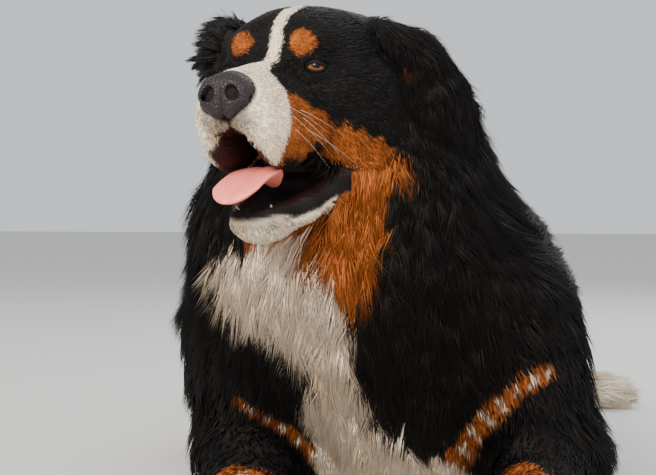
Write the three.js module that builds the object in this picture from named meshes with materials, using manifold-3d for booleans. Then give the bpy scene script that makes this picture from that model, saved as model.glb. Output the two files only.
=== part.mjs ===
import * as THREE from 'three';
import { mergeVertices } from 'three/addons/utils/BufferGeometryUtils.js';
import Module from 'manifold-3d';

// A Bernese mountain dog lying on its belly, head up and turned to its right, mouth open.
// Millimetres, +Z up. The dog faces -Y and its left side is +X. The origin is on the floor
// under the trunk. The head and the lower jaw are drawn in frames of their own.

const wasm = await Module();
wasm.setup();

// Driving sizes

const gap = 0.3; // clearance kept between neighbouring pieces
const headPlace = { centre: [-52, -294, 421], yaw: -15, pitch: 4, roll: 2 };
const jawHinge = [0, -8, -40]; // in the head's frame
const jawOpen = 25; // degrees
const rumpShift = -50; // how far the hindquarters lie to the dog's right
const eye = { centre: [43, -66, 7], radius: 11.5 };
const claw = { radius: 4.5 };
const toes = { count: 4, spread: 19, radius: 14 };

// How far the core of each part lies under the tips of its locks.
const coat = { trunk: 13, neck: 14, arm: 11, forearm: 5, thigh: 12, shank: 6, tail: 16 };

const clamp = (x, low, high) => Math.min(high, Math.max(low, x));
const mix = (a, b, t) => a + (b - a) * t;
const smooth = (t) => t * t * (3 - 2 * t);
const radians = THREE.MathUtils.degToRad;

// Small vector helpers on [x, y, z].

const shifted = (a, b, t = 1) => [a[0] + b[0] * t, a[1] + b[1] * t, a[2] + b[2] * t];
const dot = (a, b) => a[0] * b[0] + a[1] * b[1] + a[2] * b[2];
const cross = (a, b) => [
  a[1] * b[2] - a[2] * b[1],
  a[2] * b[0] - a[0] * b[2],
  a[0] * b[1] - a[1] * b[0],
];
const unit = (a) => {
  const length = Math.hypot(a[0], a[1], a[2]) || 1;
  return [a[0] / length, a[1] / length, a[2] / length];
};
const mirrored = (p) => [Math.abs(p[0]), p[1], p[2]];

// A seeded random number from 0 to 1, so that every run draws the same coat.

let seed = 7;
const random = () => {
  seed = (seed * 1664525 + 1013904223) % 4294967296;
  return seed / 4294967296;
};
const vary = (amount) => 1 + (random() * 2 - 1) * amount;

// A field is below zero inside the form and above it outside, in millimetres near the surface.

// Ellipsoid, turned about Z by some degrees.
function ball(p, centre, radii, turn = 0) {
  const c = Math.cos(radians(turn));
  const s = Math.sin(radians(turn));
  const dx = p[0] - centre[0];
  const dy = p[1] - centre[1];
  const x = (dx * c + dy * s) / radii[0];
  const y = (dy * c - dx * s) / radii[1];
  const z = (p[2] - centre[2]) / radii[2];
  const near = Math.hypot(x, y, z);
  const far = Math.hypot(x / radii[0], y / radii[1], z / radii[2]);
  return (near * (near - 1)) / Math.max(far, 1e-9);
}

// Tapered round bar from a to b. A squash above 1 makes it thinner along that axis.
function limb(p, a, b, ra, rb, squash = [1, 1, 1]) {
  const q = [0, 1, 2].map((i) => (p[i] - a[i]) * squash[i]);
  const d = [0, 1, 2].map((i) => (b[i] - a[i]) * squash[i]);
  const t = clamp(dot(q, d) / dot(d, d), 0, 1);
  return Math.hypot(q[0] - t * d[0], q[1] - t * d[1], q[2] - t * d[2]) - mix(ra, rb, t);
}

// Union of two fields with a fillet of about k.
function blend(a, b, k) {
  const h = Math.max(k - Math.abs(a - b), 0) / k;
  return Math.min(a, b) - h * h * k * 0.25;
}

// Frames of the head and of the open jaw

const headTurn = new THREE.Matrix4().makeRotationFromEuler(
  new THREE.Euler(
    radians(-headPlace.pitch),
    radians(-headPlace.roll),
    radians(headPlace.yaw),
    'ZXY',
  ),
).elements;
const headAxes = [headTurn.slice(0, 3), headTurn.slice(4, 7), headTurn.slice(8, 11)];

const toHead = (p) => {
  const q = shifted(p, headPlace.centre, -1);
  return headAxes.map((axis) => dot(q, axis));
};
const fromHead = (h) =>
  headAxes.reduce((p, axis, i) => shifted(p, axis, h[i]), headPlace.centre);

const headTurned = (h) => headAxes.reduce((p, axis, i) => shifted(p, axis, h[i]), [0, 0, 0]);

const jawCos = Math.cos(radians(jawOpen));
const jawSin = Math.sin(radians(jawOpen));
const toJaw = (h) => {
  const y = h[1] - jawHinge[1];
  const z = h[2] - jawHinge[2];
  return [h[0], jawHinge[1] + y * jawCos + z * jawSin, jawHinge[2] - y * jawSin + z * jawCos];
};
const fromJaw = (j) => {
  const y = j[1] - jawHinge[1];
  const z = j[2] - jawHinge[2];
  return [j[0], jawHinge[1] + y * jawCos - z * jawSin, jawHinge[2] + y * jawSin + z * jawCos];
};

// The head, in its own frame: x to the dog's left, y towards the back of the skull, z up

function upperHead(h) {
  const m = mirrored(h);
  let d = ball(h, [0, 8, 10], [74, 86, 61]); // brain case
  d = blend(d, ball(m, [38, 20, 36], [38, 56, 33]), 24); // crown at the root of the ear
  d = blend(d, ball(h, [0, -20, 38], [50, 54, 34]), 30); // forehead
  d = blend(d, ball(m, [31, -51, 31], [24, 27, 20]), 20); // brow
  d = blend(d, ball(m, [54, -4, -22], [36, 56, 46]), 30); // cheek muscle
  d = blend(d, limb(m, [51, -58, -10], [76, -5, -6], 15, 20), 20); // cheek bone
  d = blend(d, ball(m, [50, 24, -58], [42, 56, 48]), 30); // jowl
  d = blend(d, limb(h, [0, -74, -6], [0, -150, -20], 25, 16), 22); // bridge of the nose
  d = blend(d, limb(m, [17, -72, -34], [13, -138, -36], 32, 24), 20); // muzzle
  d = blend(d, limb(m, [32, -60, -58], [22, -136, -50], 17, 17), 14); // upper lip
  return d;
}

// The gap between the lips, cut through from side to side: its roof is the edge of the upper
// lip and its floor the edge of the lower lip, and they meet in the corner of the mouth.
const mouth = { corner: -26, front: -128, roof: -66, cornerDepth: 17, drop: 41 };

function lipGap(h) {
  const t = (mouth.corner - h[1]) / (mouth.corner - mouth.front);
  const back = clamp(1 - t / 0.5, 0, 1.2);
  const roof = mouth.roof - mouth.cornerDepth * back * back;
  const open = clamp(t, -0.2, 1);
  const floor = mouth.roof - mouth.cornerDepth - mouth.drop * (1 - (1 - open) * (1 - open));
  const front = 60 * clamp(t - 1, 0, 1); // past the lips it opens downwards
  return Math.max(h[2] - roof, floor - front - h[2], h[1] - mouth.corner, Math.abs(h[0]) - 78);
}

// The upper lips hang down on both sides of the muzzle.
const flew = { centre: [26, -103, -61], radii: [17, 46, 29] };

// The hollow of the palate inside the upper lips.
const palate = (h) => limb(h, [0, -50, -70], [0, -136, -68], 24, 16, [0.85, 1, 1.3]);

function nosePad(h) {
  const m = mirrored(h);
  let d = ball(h, [0, -153, -25], [24, 17, 20]);
  d = blend(d, ball(m, [14, -158, -27], [12, 12, 14]), 8); // wings of the nostrils
  return blend(d, limb(h, [0, -163, -40], [0, -158, -54], 6, 4), 6); // cleft of the lip
}

function lowerJaw(h) {
  const j = toJaw(h);
  const m = mirrored(j);
  let d = limb(m, [42, -34, -84], [31, -92, -88], 15, 12);
  d = blend(d, limb(m, [31, -92, -88], [14, -134, -82], 12, 10), 12);
  d = blend(d, ball(j, [0, -136, -85], [20, 13, 13]), 12);
  d = blend(d, ball(j, [0, -122, -92], [23, 22, 16]), 14); // chin
  return blend(d, limb(j, [0, -36, -104], [0, -114, -98], 25, 15, [0.8, 1, 1.3]), 18);
}

const jawTrough = (h) => limb(toJaw(h), [0, -50, -68], [0, -128, -70], 24, 13, [0.8, 1, 1.1]);

// Ears: a fold at the root, then a flat blade that hangs to a round tip. Each blade is turned
// about the vertical. The left one hangs further back and the right one stands out.
const ears = {
  left: { root: [70, 18, 46], fold: [96, 42, 20], middle: [112, 66, -22], tip: [116, 76, -76] },
  right: { root: [66, 6, 47], fold: [88, 4, 35], middle: [92, 30, -20], tip: [96, 42, -76] },
};
const earTurn = { left: -20, right: -8 };
const earRadii = { root: 21, fold: 27, middle: 42, tip: 16 };
const bladeFlatness = 2.3;

function ear(h, side) {
  const { root, fold, middle, tip } = ears[side];
  const q = [side === 'left' ? h[0] : -h[0], h[1], h[2]];
  const c = Math.cos(radians(earTurn[side]));
  const s = Math.sin(radians(earTurn[side]));
  const turned = (p) => [p[0] * c + p[1] * s, p[1] * c - p[0] * s, p[2]];
  const flat = [bladeFlatness, 1, 1];
  const [f, m, t] = [fold, middle, tip].map(turned);
  const r = turned(q);
  let d = limb(q, root, fold, earRadii.root, earRadii.fold);
  d = blend(d, limb(r, f, m, earRadii.fold * 1.4, earRadii.middle, flat), 14);
  return blend(d, limb(r, m, t, earRadii.middle, earRadii.tip, flat), 14);
}

// The trunk and the neck

const spineShift = (y) => rumpShift * smooth(clamp((y + 50) / 450, 0, 1));

function trunk(p) {
  const q = [p[0] - spineShift(p[1]), p[1], p[2]];
  const m = mirrored(q);
  let d = ball(q, [0, -70, 174], [172, 235, 190]); // rib cage
  d = blend(d, ball(q, [0, -205, 150], [138, 128, 160]), 60); // breast
  d = blend(d, ball(q, [0, 150, 152], [154, 230, 174]), 90); // belly and loin
  d = blend(d, ball(q, [0, 340, 146], [140, 165, 158]), 80); // rump
  return blend(d, ball(m, [128, -175, 176], [74, 100, 112]), 50); // shoulder blade
}

function neck(p) {
  let d = limb(p, [-4, -150, 235], [-28, -212, 340], 150, 134);
  d = blend(d, limb(p, [-28, -212, 340], [-44, -232, 398], 134, 108), 40);
  d = blend(d, ball(p, [-126, -226, 296], [62, 70, 58]), 40); // ruff under the right ear
  return blend(d, ball(p, [-24, -258, 235], [114, 95, 125]), 60); // throat and ruff
}

// Limbs. A path of joints with a radius at each, mirrored for the dog's right side.

const foreJoints = {
  left: [[128, -215, 165], [174, -160, 44], [166, -395, 29], [166, -452, 28]],
  right: [[118, -215, 165], [146, -160, 44], [88, -395, 29], [82, -452, 28]],
};
const foreRadii = [82, 58, 36, 35];
const hindJoints = {
  left: [[150, 210, 112], [182, 165, 74], [190, 380, 26], [205, 290, 26], [213, 236, 26]],
  right: [[150, 210, 112], [182, 165, 74], [190, 380, 26], [205, 290, 26], [213, 236, 26]],
};
const hindRadii = [64, 54, 36, 33, 33];
const pawRadii = [40, 52, 34];

const mirrorFor = (side, centre) => (p) => [
  (p[0] - centre) * (side === 'left' ? 1 : -1),
  p[1],
  p[2],
];
const foreFrame = { left: mirrorFor('left', 0), right: mirrorFor('right', 0) };
const hindFrame = { left: mirrorFor('left', rumpShift), right: mirrorFor('right', rumpShift) };
const mirrorBack = (side, centre, list) =>
  list.map((q) => [(side === 'left' ? q[0] : -q[0]) + centre, q[1], q[2]]);

const upperArm = (p, side) => {
  const j = foreJoints[side];
  return limb(foreFrame[side](p), j[0], j[1], foreRadii[0], foreRadii[1]);
};

const forearm = (p, side) => {
  const q = foreFrame[side](p);
  const j = foreJoints[side];
  const d = limb(q, j[1], j[2], foreRadii[1] - 4, foreRadii[2]);
  return blend(d, limb(q, j[2], j[3], foreRadii[2], foreRadii[3]), 20);
};

// A paw: the body of the foot and four toes in an arc, the inner two ahead.
const toeEnds = Array.from({ length: toes.count }, (_, i) => {
  const across = (i - (toes.count - 1) / 2) * toes.spread;
  return [across, -66 + Math.abs(across) * 0.42, 12];
});

function paw(q, wrist, heading) {
  const c = Math.cos(radians(heading));
  const s = Math.sin(radians(heading));
  const dx = q[0] - wrist[0];
  const dy = q[1] - wrist[1];
  const f = [dx * c + dy * s, dy * c - dx * s, q[2]];
  let d = ball(f, [0, -26, 26], [pawRadii[0], pawRadii[1], pawRadii[2]]);
  toeEnds.forEach((end) => {
    const start = [end[0] * 0.8, end[1] + 26, 28];
    d = blend(d, limb(f, start, end, 14, toes.radius), 7);
  });
  return d;
}

const pawHeading = { foreLeft: 2, foreRight: -3, hindLeft: 10, hindRight: 10 };

const forePaw = (p, side) =>
  paw(foreFrame[side](p), foreJoints[side][3], pawHeading[side === 'left' ? 'foreLeft' : 'foreRight']);
const hindPaw = (p, side) =>
  paw(hindFrame[side](p), hindJoints[side][4], pawHeading[side === 'left' ? 'hindLeft' : 'hindRight']);

const thigh = (p, side) => {
  const q = hindFrame[side](p);
  const j = hindJoints[side];
  const d = ball(q, [128, 296, 142], [76, 156, 134], -12);
  return blend(d, limb(q, j[0], j[1], hindRadii[0], hindRadii[1]), 50);
};

const shank = (p, side) => {
  const q = hindFrame[side](p);
  const j = hindJoints[side];
  const d = limb(q, j[1], j[2], hindRadii[1], hindRadii[2]);
  return blend(d, limb(q, j[2], j[3], hindRadii[2] - 2, hindRadii[3]), 20);
};

const metatarsus = (p, side) => {
  const j = hindJoints[side];
  return limb(hindFrame[side](p), j[3], j[4], hindRadii[3], hindRadii[4]);
};

const tailPath = [[-50, 440, 135], [-58, 560, 38], [40, 690, 34], [190, 702, 22]];
const tailRadii = [62, 56, 50, 30];

const tailRoot = (p) => limb(p, tailPath[0], tailPath[1], tailRadii[0], tailRadii[1]);
const tailPlume = (p) =>
  blend(
    limb(p, tailPath[1], tailPath[2], tailRadii[1], tailRadii[2]),
    limb(p, tailPath[2], tailPath[3], tailRadii[2], tailRadii[3]),
    40,
  );

// The whole form, each part at the depth of its core.

const sides = ['left', 'right'];
const bodyParts = [
  { field: trunk, sink: coat.trunk, fillet: 60 },
  { field: neck, sink: coat.neck, fillet: 60 },
  ...sides.flatMap((side) => [
    { field: (p) => upperArm(p, side), sink: coat.arm, fillet: 40 },
    { field: (p) => forearm(p, side), sink: coat.forearm, fillet: 30 },
    { field: (p) => forePaw(p, side), sink: 0, fillet: 14 },
    { field: (p) => thigh(p, side), sink: coat.thigh, fillet: 40 },
    { field: (p) => shank(p, side), sink: coat.shank, fillet: 30 },
    { field: (p) => metatarsus(p, side), sink: coat.shank, fillet: 20 },
    { field: (p) => hindPaw(p, side), sink: 0, fillet: 14 },
  ]),
  { field: tailRoot, sink: coat.tail, fillet: 40 },
  { field: tailPlume, sink: coat.tail, fillet: 40 },
];

const body = (p) =>
  bodyParts.reduce((d, part) => blend(d, part.field(p) + part.sink, part.fillet), 1e3);

function whole(p) {
  const h = toHead(p);
  const head = blend(upperHead(h), lowerJaw(h), 14);
  return blend(head, body(p), 24);
}

// Outward direction of a form's surface.
function slope(p, form) {
  const e = 1.5;
  return unit([0, 1, 2].map((i) => {
    const a = [...p];
    const b = [...p];
    a[i] += e;
    b[i] -= e;
    return form(a) - form(b);
  }));
}

// Solids

const solidOf = (geometry) => {
  geometry.deleteAttribute('normal');
  geometry.deleteAttribute('uv');
  const merged = mergeVertices(geometry, 1e-4);
  const solid = new wasm.Manifold(
    new wasm.Mesh({
      numProp: 3,
      vertProperties: merged.attributes.position.array,
      triVerts: new Uint32Array(merged.index.array),
    }),
  );
  return solid;
};

const largest = (solid) => {
  const pieces = solid.decompose();
  return pieces.reduce((a, b) => (b.volume() > a.volume() ? b : a));
};

const cutAll = (solid, cutters) => cutters.reduce((rest, cutter) => rest.subtract(cutter), solid);

// How far a ray from a point inside runs before it leaves the field.
function reach(field, from, direction) {
  let inside = 0;
  let outside = 0.5;
  while (field(shifted(from, direction, outside)) < 0 && outside < 900) {
    inside = outside;
    outside += Math.max(-field(shifted(from, direction, outside)) * 0.8, 1.5);
  }
  for (let i = 0; i < 14; i += 1) {
    const middle = (inside + outside) / 2;
    if (field(shifted(from, direction, middle)) < 0) inside = middle;
    else outside = middle;
  }
  return outside;
}

// Where a ray starts and points for u round the path and v along it. Near both ends the rays
// fan out over a half sphere, so the surface closes in a pole.
const capShare = 0.2;

function rayAt(path, u, v, up) {
  const along = clamp((v - capShare) / (1 - 2 * capShare), 0, 1);
  const from = path.getPoint(along).toArray();
  const ahead = path.getTangent(along).toArray();
  const side = unit(cross(ahead, up));
  const top = cross(side, ahead);
  const angle = u * Math.PI * 2;
  const out = shifted(side.map((x) => x * Math.cos(angle)), top, Math.sin(angle));
  let lean = 0;
  if (v < capShare) lean = -(1 - v / capShare) * (Math.PI / 2);
  if (v > 1 - capShare) lean = (1 - (1 - v) / capShare) * (Math.PI / 2);
  const direction = shifted(out.map((x) => x * Math.cos(lean)), ahead, Math.sin(lean));
  return { from, direction };
}

// A closed surface round a path: the points of a sphere grid moved out along those rays to
// where the field ends. grow moves the whole surface out.
function cast(field, points, round, along, { up = [0, 0, 1], grow = 0 } = {}) {
  const path = new THREE.CatmullRomCurve3(points.map((q) => new THREE.Vector3(...q)));
  const geometry = new THREE.SphereGeometry(1, round, along);
  const { position, uv } = geometry.attributes;
  for (let i = 0; i < position.count; i += 1) {
    const v = 1 - uv.getY(i);
    const turn = Math.abs(v - 0.5) > 0.4999 ? 0 : uv.getX(i) % 1;
    const { from, direction } = rayAt(path, turn, v, up);
    const own = reach(field, from, direction) + grow;
    const moved = grow ? reach((p) => field(p) - grow, from, direction) : own;
    const length = grow < 0 ? Math.min(own, moved) : Math.max(own, moved);
    position.setXYZ(i, ...shifted(from, direction, length));
  }
  const solid = solidOf(geometry);
  if (solid.volume() > 0) return solid;
  geometry.index.array.reverse();
  return solidOf(geometry);
}

// A ball with its own radii, drawn in the head's or the jaw's frame.
function ballSolid(centre, radii, place, round = 12, along = 8) {
  const geometry = new THREE.SphereGeometry(1, round, along);
  const { position } = geometry.attributes;
  for (let i = 0; i < position.count; i += 1) {
    const q = [position.getX(i), position.getY(i), position.getZ(i)];
    position.setXYZ(i, ...place(centre.map((c, axis) => c + q[axis] * radii[axis])));
  }
  return solidOf(geometry);
}

// A cone from root to tip, flattened across, for a tooth or a claw.
function cone(root, tip, radius, flat = 1, round = 5) {
  const length = Math.hypot(...shifted(tip, root, -1));
  const geometry = new THREE.ConeGeometry(radius, length, round, 1);
  geometry.scale(flat, 1, 1).translate(0, length / 2, 0);
  const turn = new THREE.Quaternion().setFromUnitVectors(
    new THREE.Vector3(0, 1, 0),
    new THREE.Vector3(...unit(shifted(tip, root, -1))),
  );
  geometry.applyQuaternion(turn).translate(...root);
  return solidOf(geometry);
}

// A lock of the long coat: a flat cone with three sides, whose spine leaves the surface at
// the root, follows the lie of the coat and rises to the tip.
const lockSteps = 3;
const rootSink = 9;

function lockSpine(start, { lie, length, rise, form = whole }) {
  const spine = [];
  let p = start;
  for (let i = 0; i <= lockSteps; i += 1) {
    const t = i / lockSteps;
    const normal = slope(p, form);
    const height = i === 0 ? -rootSink : mix(0.25, 1, t) * rise;
    const centre = shifted(p, normal, height - form(p));
    const forward = lie(centre);
    const ahead = unit(shifted(forward, normal, -dot(forward, normal)));
    spine.push({ centre, normal, ahead, across: cross(ahead, normal) });
    p = shifted(centre, ahead, length / lockSteps);
  }
  return spine;
}

// A spine that runs on smoothly, without a fold or a twist.
const runsOn = (spine) =>
  spine.slice(1).every((next, i) => {
    const step = unit(shifted(next.centre, spine[i].centre, -1));
    return dot(step, spine[i].ahead) > 0.75 && dot(next.across, spine[i].across) > 0.75;
  });

function lockSolid({ start, shape }, grow) {
  const { width, thick } = shape;
  const spine = lockSpine(start, shape);
  const geometry = new THREE.ConeGeometry(1, 1, 3, lockSteps);
  const { position } = geometry.attributes;
  for (let i = 0; i < position.count; i += 1) {
    const t = position.getY(i) + 0.5;
    const { centre, normal, across } = spine[Math.round(t * lockSteps)];
    const round = Math.min(1, Math.hypot(position.getX(i), position.getZ(i)) / (1 - t + 1e-6));
    const angle = Math.atan2(position.getZ(i), position.getX(i));
    const full = Math.sin(Math.PI * (0.22 + 0.78 * t)) ** 0.7;
    const half = (1 - t * 0.6) * thick * 0.5;
    const side = round * Math.cos(angle) * (full * width * 0.5 + grow * 3);
    const lift = round * (Math.sin(angle) * half + Math.sign(Math.sin(angle)) * grow * 2);
    position.setXYZ(i, ...shifted(shifted(centre, across, side), normal, lift));
  }
  const solid = solidOf(geometry);
  if (solid.volume() > 0) return solid;
  geometry.index.array.reverse();
  return solidOf(geometry);
}

// Rows of locks round a piece: each root is where a ray from the piece's path meets the
// surface, and every second row is set half a step on.
function lockRoots({ field, path, up = [0, 0, 1] }, { along, rows, arc, count, ...size }) {
  const curve = new THREE.CatmullRomCurve3(path.map((q) => new THREE.Vector3(...q)));
  const roots = [];
  for (let row = 0; row < rows; row += 1) {
    const v = rows > 1 ? mix(along[0], along[1], row / (rows - 1)) : along[0];
    for (let i = 0; i < count; i += 1) {
      const place = (i + 0.5 + (row % 2 ? 0.25 : -0.25) + (random() - 0.5) * 0.3) / count;
      const u = mix(arc[0], arc[1], place);
      const { from, direction } = rayAt(curve, u, v + (random() - 0.5) * 0.02, up);
      const start = shifted(from, direction, reach(field, from, direction));
      const forward = curve.getTangent(clamp((v - capShare) / (1 - 2 * capShare), 0, 1)).toArray();
      roots.push({
        start,
        shape: {
          thick: 12,
          ...size,
          length: size.length * vary(0.15),
          width: size.width * vary(0.1),
          lie: (p) => size.lie(p, forward),
        },
      });
    }
  }
  return roots.filter(({ start }) => whole(start) > -3 && start[2] > 14);
}

// Four claws of a paw, each from inside the end of its toe forward and down.
function clawSet(side, back, wrist, heading) {
  const c = Math.cos(radians(heading));
  const s = Math.sin(radians(heading));
  const place = ([across, ahead, up]) =>
    mirrorBack(side, back, [
      [wrist[0] + across * c - ahead * s, wrist[1] + across * s + ahead * c, up],
    ])[0];
  return toeEnds.map((end) =>
    cone(place(shifted(end, [0, -6, 5])), place(shifted(end, [0, -25, -5])), claw.radius));
}

// The tongue: a bar along a path, thick at its root in the jaw and thin where its wide, round
// tip hangs over the lower lip.
const tongue = {
  path: [[3, -46, -98], [3, -90, -104], [0, -124, -106], [-5, -145, -123]],
  width: 23,
  thickness: [13, 4.5],
};

function tongueSolid(grow) {
  const path = new THREE.CatmullRomCurve3(tongue.path.map((q) => new THREE.Vector3(...q)));
  const geometry = new THREE.SphereGeometry(1, 12, 14);
  const { position, uv } = geometry.attributes;
  for (let i = 0; i < position.count; i += 1) {
    const v = 1 - uv.getY(i);
    const angle = Math.abs(v - 0.5) > 0.4999 ? 0 : (uv.getX(i) % 1) * Math.PI * 2;
    const t = smooth(v) * 0.4 + v * 0.6;
    const centre = path.getPoint(t).toArray();
    const ahead = path.getTangent(t).toArray();
    const up = cross([1, 0, 0], ahead).map((x) => -x);
    const end = Math.min(1, Math.sqrt(Math.sin(Math.PI * v) * 1.6));
    const across = (tongue.width * end + grow) * Math.cos(angle);
    const cup = (across * across) / 160;
    const half = mix(tongue.thickness[0], tongue.thickness[1], smooth(clamp(t * 1.15, 0, 1)));
    const rise = (half * Math.min(1, end * 1.3) + grow) * Math.sin(angle) + cup;
    const tip = v < 0.01 ? -grow : v > 0.99 ? grow : 0;
    const q = shifted(shifted(centre, unit(up), rise), ahead, tip);
    position.setXYZ(i, ...fromHead([q[0] + across, q[1], q[2]]));
  }
  const solid = solidOf(geometry);
  if (solid.volume() > 0) return solid;
  geometry.index.array.reverse();
  return solidOf(geometry);
}

// Teeth: root, tip and radius of each on the left side, in the head's or the jaw's frame.
const upperTeeth = [
  { root: [19, -133, -48], tip: [20, -137, -76], radius: 5 },
  { root: [27, -108, -46], tip: [28, -109, -68], radius: 4.5 },
  { root: [31, -88, -46], tip: [33, -88, -70], radius: 6 },
];
const lowerTeeth = [
  { root: [15, -127, -94], tip: [18, -132, -62], radius: 5 },
  { root: [24, -104, -96], tip: [25, -105, -72], radius: 4.5 },
  { root: [28, -86, -98], tip: [29, -87, -71], radius: 5.5 },
  { root: [31, -68, -98], tip: [31, -69, -72], radius: 5.5 },
];
const incisors = { count: 6, pitch: 4.6, radius: 3, root: [-136, -90], tip: [-141, -72] };

const bothSides = (list, make) => list.flatMap((item) => [make(item, 1), make(item, -1)]);
const toothPair = (list, place, grow) =>
  bothSides(list, ({ root, tip, radius }, side) => {
    const from = place([root[0] * side, root[1], root[2]]);
    const to = place([tip[0] * side, tip[1], tip[2]]);
    return cone(from, shifted(to, unit(shifted(to, from, -1)), grow * 4), radius + grow * 1.5);
  });
const jawToDog = (j) => fromHead(fromJaw(j));

const lowerIncisors = Array.from({ length: incisors.count }, (_, i) => {
  const x = (i - (incisors.count - 1) / 2) * incisors.pitch;
  const back = x * x * 0.03;
  return cone(
    jawToDog([x, incisors.root[0] + back, incisors.root[1]]),
    jawToDog([x, incisors.tip[0] + back, incisors.tip[1]]),
    incisors.radius,
  );
});

// Lids: a thin bulge over each eyeball, opened by an almond that looks forwards and out.
const lid = { thickness: 3.2, opening: [12, 14, 5.6], forward: [5.5, -8.5, 0] };

const eyeAt = (side, offset = [0, 0, 0]) =>
  eye.centre.map((c, i) => (c + offset[i]) * (i === 0 ? side : 1));
const eyeball = (side, grow) => {
  const r = eye.radius + grow;
  return ballSolid(eyeAt(side), [r, r, r], fromHead, 10, 8);
};
const lidBulge = (side) => {
  const r = eye.radius + lid.thickness;
  return ballSolid(eyeAt(side), [r, r, r * 0.92], fromHead, 12, 7);
};
const lidOpening = (side) => {
  const turn = radians(33 * side);
  const place = (q) => {
    const centre = eyeAt(side, lid.forward);
    const x = q[0] * Math.cos(turn) - q[1] * Math.sin(turn);
    const y = q[0] * Math.sin(turn) + q[1] * Math.cos(turn);
    return fromHead([centre[0] + x, centre[1] + y, centre[2] + q[2] - x * side * 0.12]);
  };
  return ballSolid([0, 0, 0], lid.opening, place, 10, 6);
};

// Nostrils: a round pit with a slit running out and back.
const nostrilPits = [1, -1].flatMap((side) => [
  ballSolid([11 * side, -169, -24], [5.2, 8, 5.4], fromHead, 8, 5),
  ballSolid([18 * side, -164, -28], [7.5, 7, 2.8], fromHead, 6, 4),
]);

const skinTone = {
  black: { color: 0x14110f, roughness: 0.8 },
  tan: { color: 0x8f4a1c, roughness: 0.8 },
  white: { color: 0xe8e0d2, roughness: 0.85 },
  leather: { color: 0x1b1718, roughness: 0.45 },
  tongue: { color: 0xd98b8b, roughness: 0.4 },
  iris: { color: 0x5a3014, roughness: 0.1 },
};

// Part of a field that belongs to one piece: inside the whole form and near its own shape.
// A piece that is cut by another reaches further, so that the fillet between them is its own.
const share = (own, near) => (p) => Math.max(whole(p), own(p) - near);
const reachOf = { first: 2, second: 6, third: 12 };
const inHead = (own) => (p) => own(toHead(p));
const headPoints = (list) => list.map(fromHead);

const joined = (solids) => solids.reduce((a, b) => a.add(b));

// Planes part one piece from the next: a piece is kept on the side of the plane's normal.
const flipped = ({ point, normal }) => ({ point, normal: normal.map((x) => -x) });
const aboveBy = ({ point, normal }, p) => dot(normal, shifted(p, point, -1));
const trimmed = (solid, { point, normal }, grow) =>
  solid.trimByPlane(normal, dot(normal, point) + gap / 2 - grow * 0.9);

// Every piece in the order in which it keeps its shape: a later piece is cut by the earlier.
// make(grow) gives its core moved out by grow, and locks are the roots of its locks.
const pieces = [];
const addPiece = (name, tone, make, locks = []) => pieces.push({ name, tone, make, locks });

const castPiece = (name, tone, settings) => {
  const { field, path, round, along, up, keep = [], coatRows = [] } = settings;
  const { finish = (solid) => solid } = settings;
  const make = (grow) => {
    const core = cast(field, path, round, along, { up, grow });
    return finish(keep.reduce((solid, plane) => trimmed(solid, plane, grow), core), grow);
  };
  const roots = coatRows.flatMap((rows) => lockRoots({ field, path, up }, rows));
  const rooted = roots.filter(
    ({ start, shape }) =>
      keep.every((plane) => aboveBy(plane, start) > 4) && runsOn(lockSpine(start, shape)),
  );
  addPiece(name, tone, make, rooted);
};

castPiece('nose_leather', skinTone.leather, {
  field: inHead(nosePad),
  path: headPoints([[0, -146, -27], [0, -156, -27]]),
  round: 16,
  along: 8,
  finish: (solid, grow) => (grow ? solid : cutAll(solid, nostrilPits)),
});

sides.forEach((side) => {
  const sign = side === 'left' ? 1 : -1;
  addPiece(`eye_${side}`, skinTone.iris, (grow) => eyeball(sign, grow));
});

addPiece('tongue', skinTone.tongue, tongueSolid);

const troughSpan = headPoints([[0, -52, -68], [0, -126, -70]].map(fromJaw));
const trough = cast(inHead(jawTrough), troughSpan, 12, 8);

castPiece('lower_jaw', skinTone.white, {
  field: share(inHead(lowerJaw), 3),
  path: headPoints([[0, -40, -100], [0, -80, -98], [0, -126, -90]].map(fromJaw)),
  round: 18,
  along: 13,
  finish: (solid, grow) => {
    const hollow = grow ? solid : solid.subtract(trough);
    const teeth = [...toothPair(lowerTeeth, jawToDog, grow), ...lowerIncisors];
    return teeth.reduce((a, b) => a.add(b), hollow);
  },
});

const mouthField = inHead((h) => Math.min(lipGap(h), palate(h)));
const mouthSpan = headPoints([[0, -50, -86], [0, -90, -90], [0, -150, -96], [0, -230, -100]]);
const mouthRoom = (grow) =>
  cast((p) => Math.max(mouthField(p), -240 - toHead(p)[1]), mouthSpan, 14, 11, { grow });

const napePlane = { point: fromHead([0, 88, 30]), normal: headTurned([0, -0.82, 0.571]) };
const shoulderPlane = { point: [-12, -165, 262], normal: unit([-0.18, -0.5, 0.82]) };
const ribPlane = { point: [0, 60, 0], normal: [0, 1, 0] };
const hipPlane = { point: [0, 240, 0], normal: [0, 1, 0] };

// The lie of the coat on each part.
const towards = (...direction) => () => direction;
const downNeck = towards(0.12, 0.35, -0.9);
const downChest = (p) => [p[0] * 0.004, -0.25, -1];
const alongBack = (p) => [0, 1, p[2] > 200 ? -0.15 : -0.45];
const alongTail = (p, ahead) => shifted(ahead, [0, 0, -1], 0.25);

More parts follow.
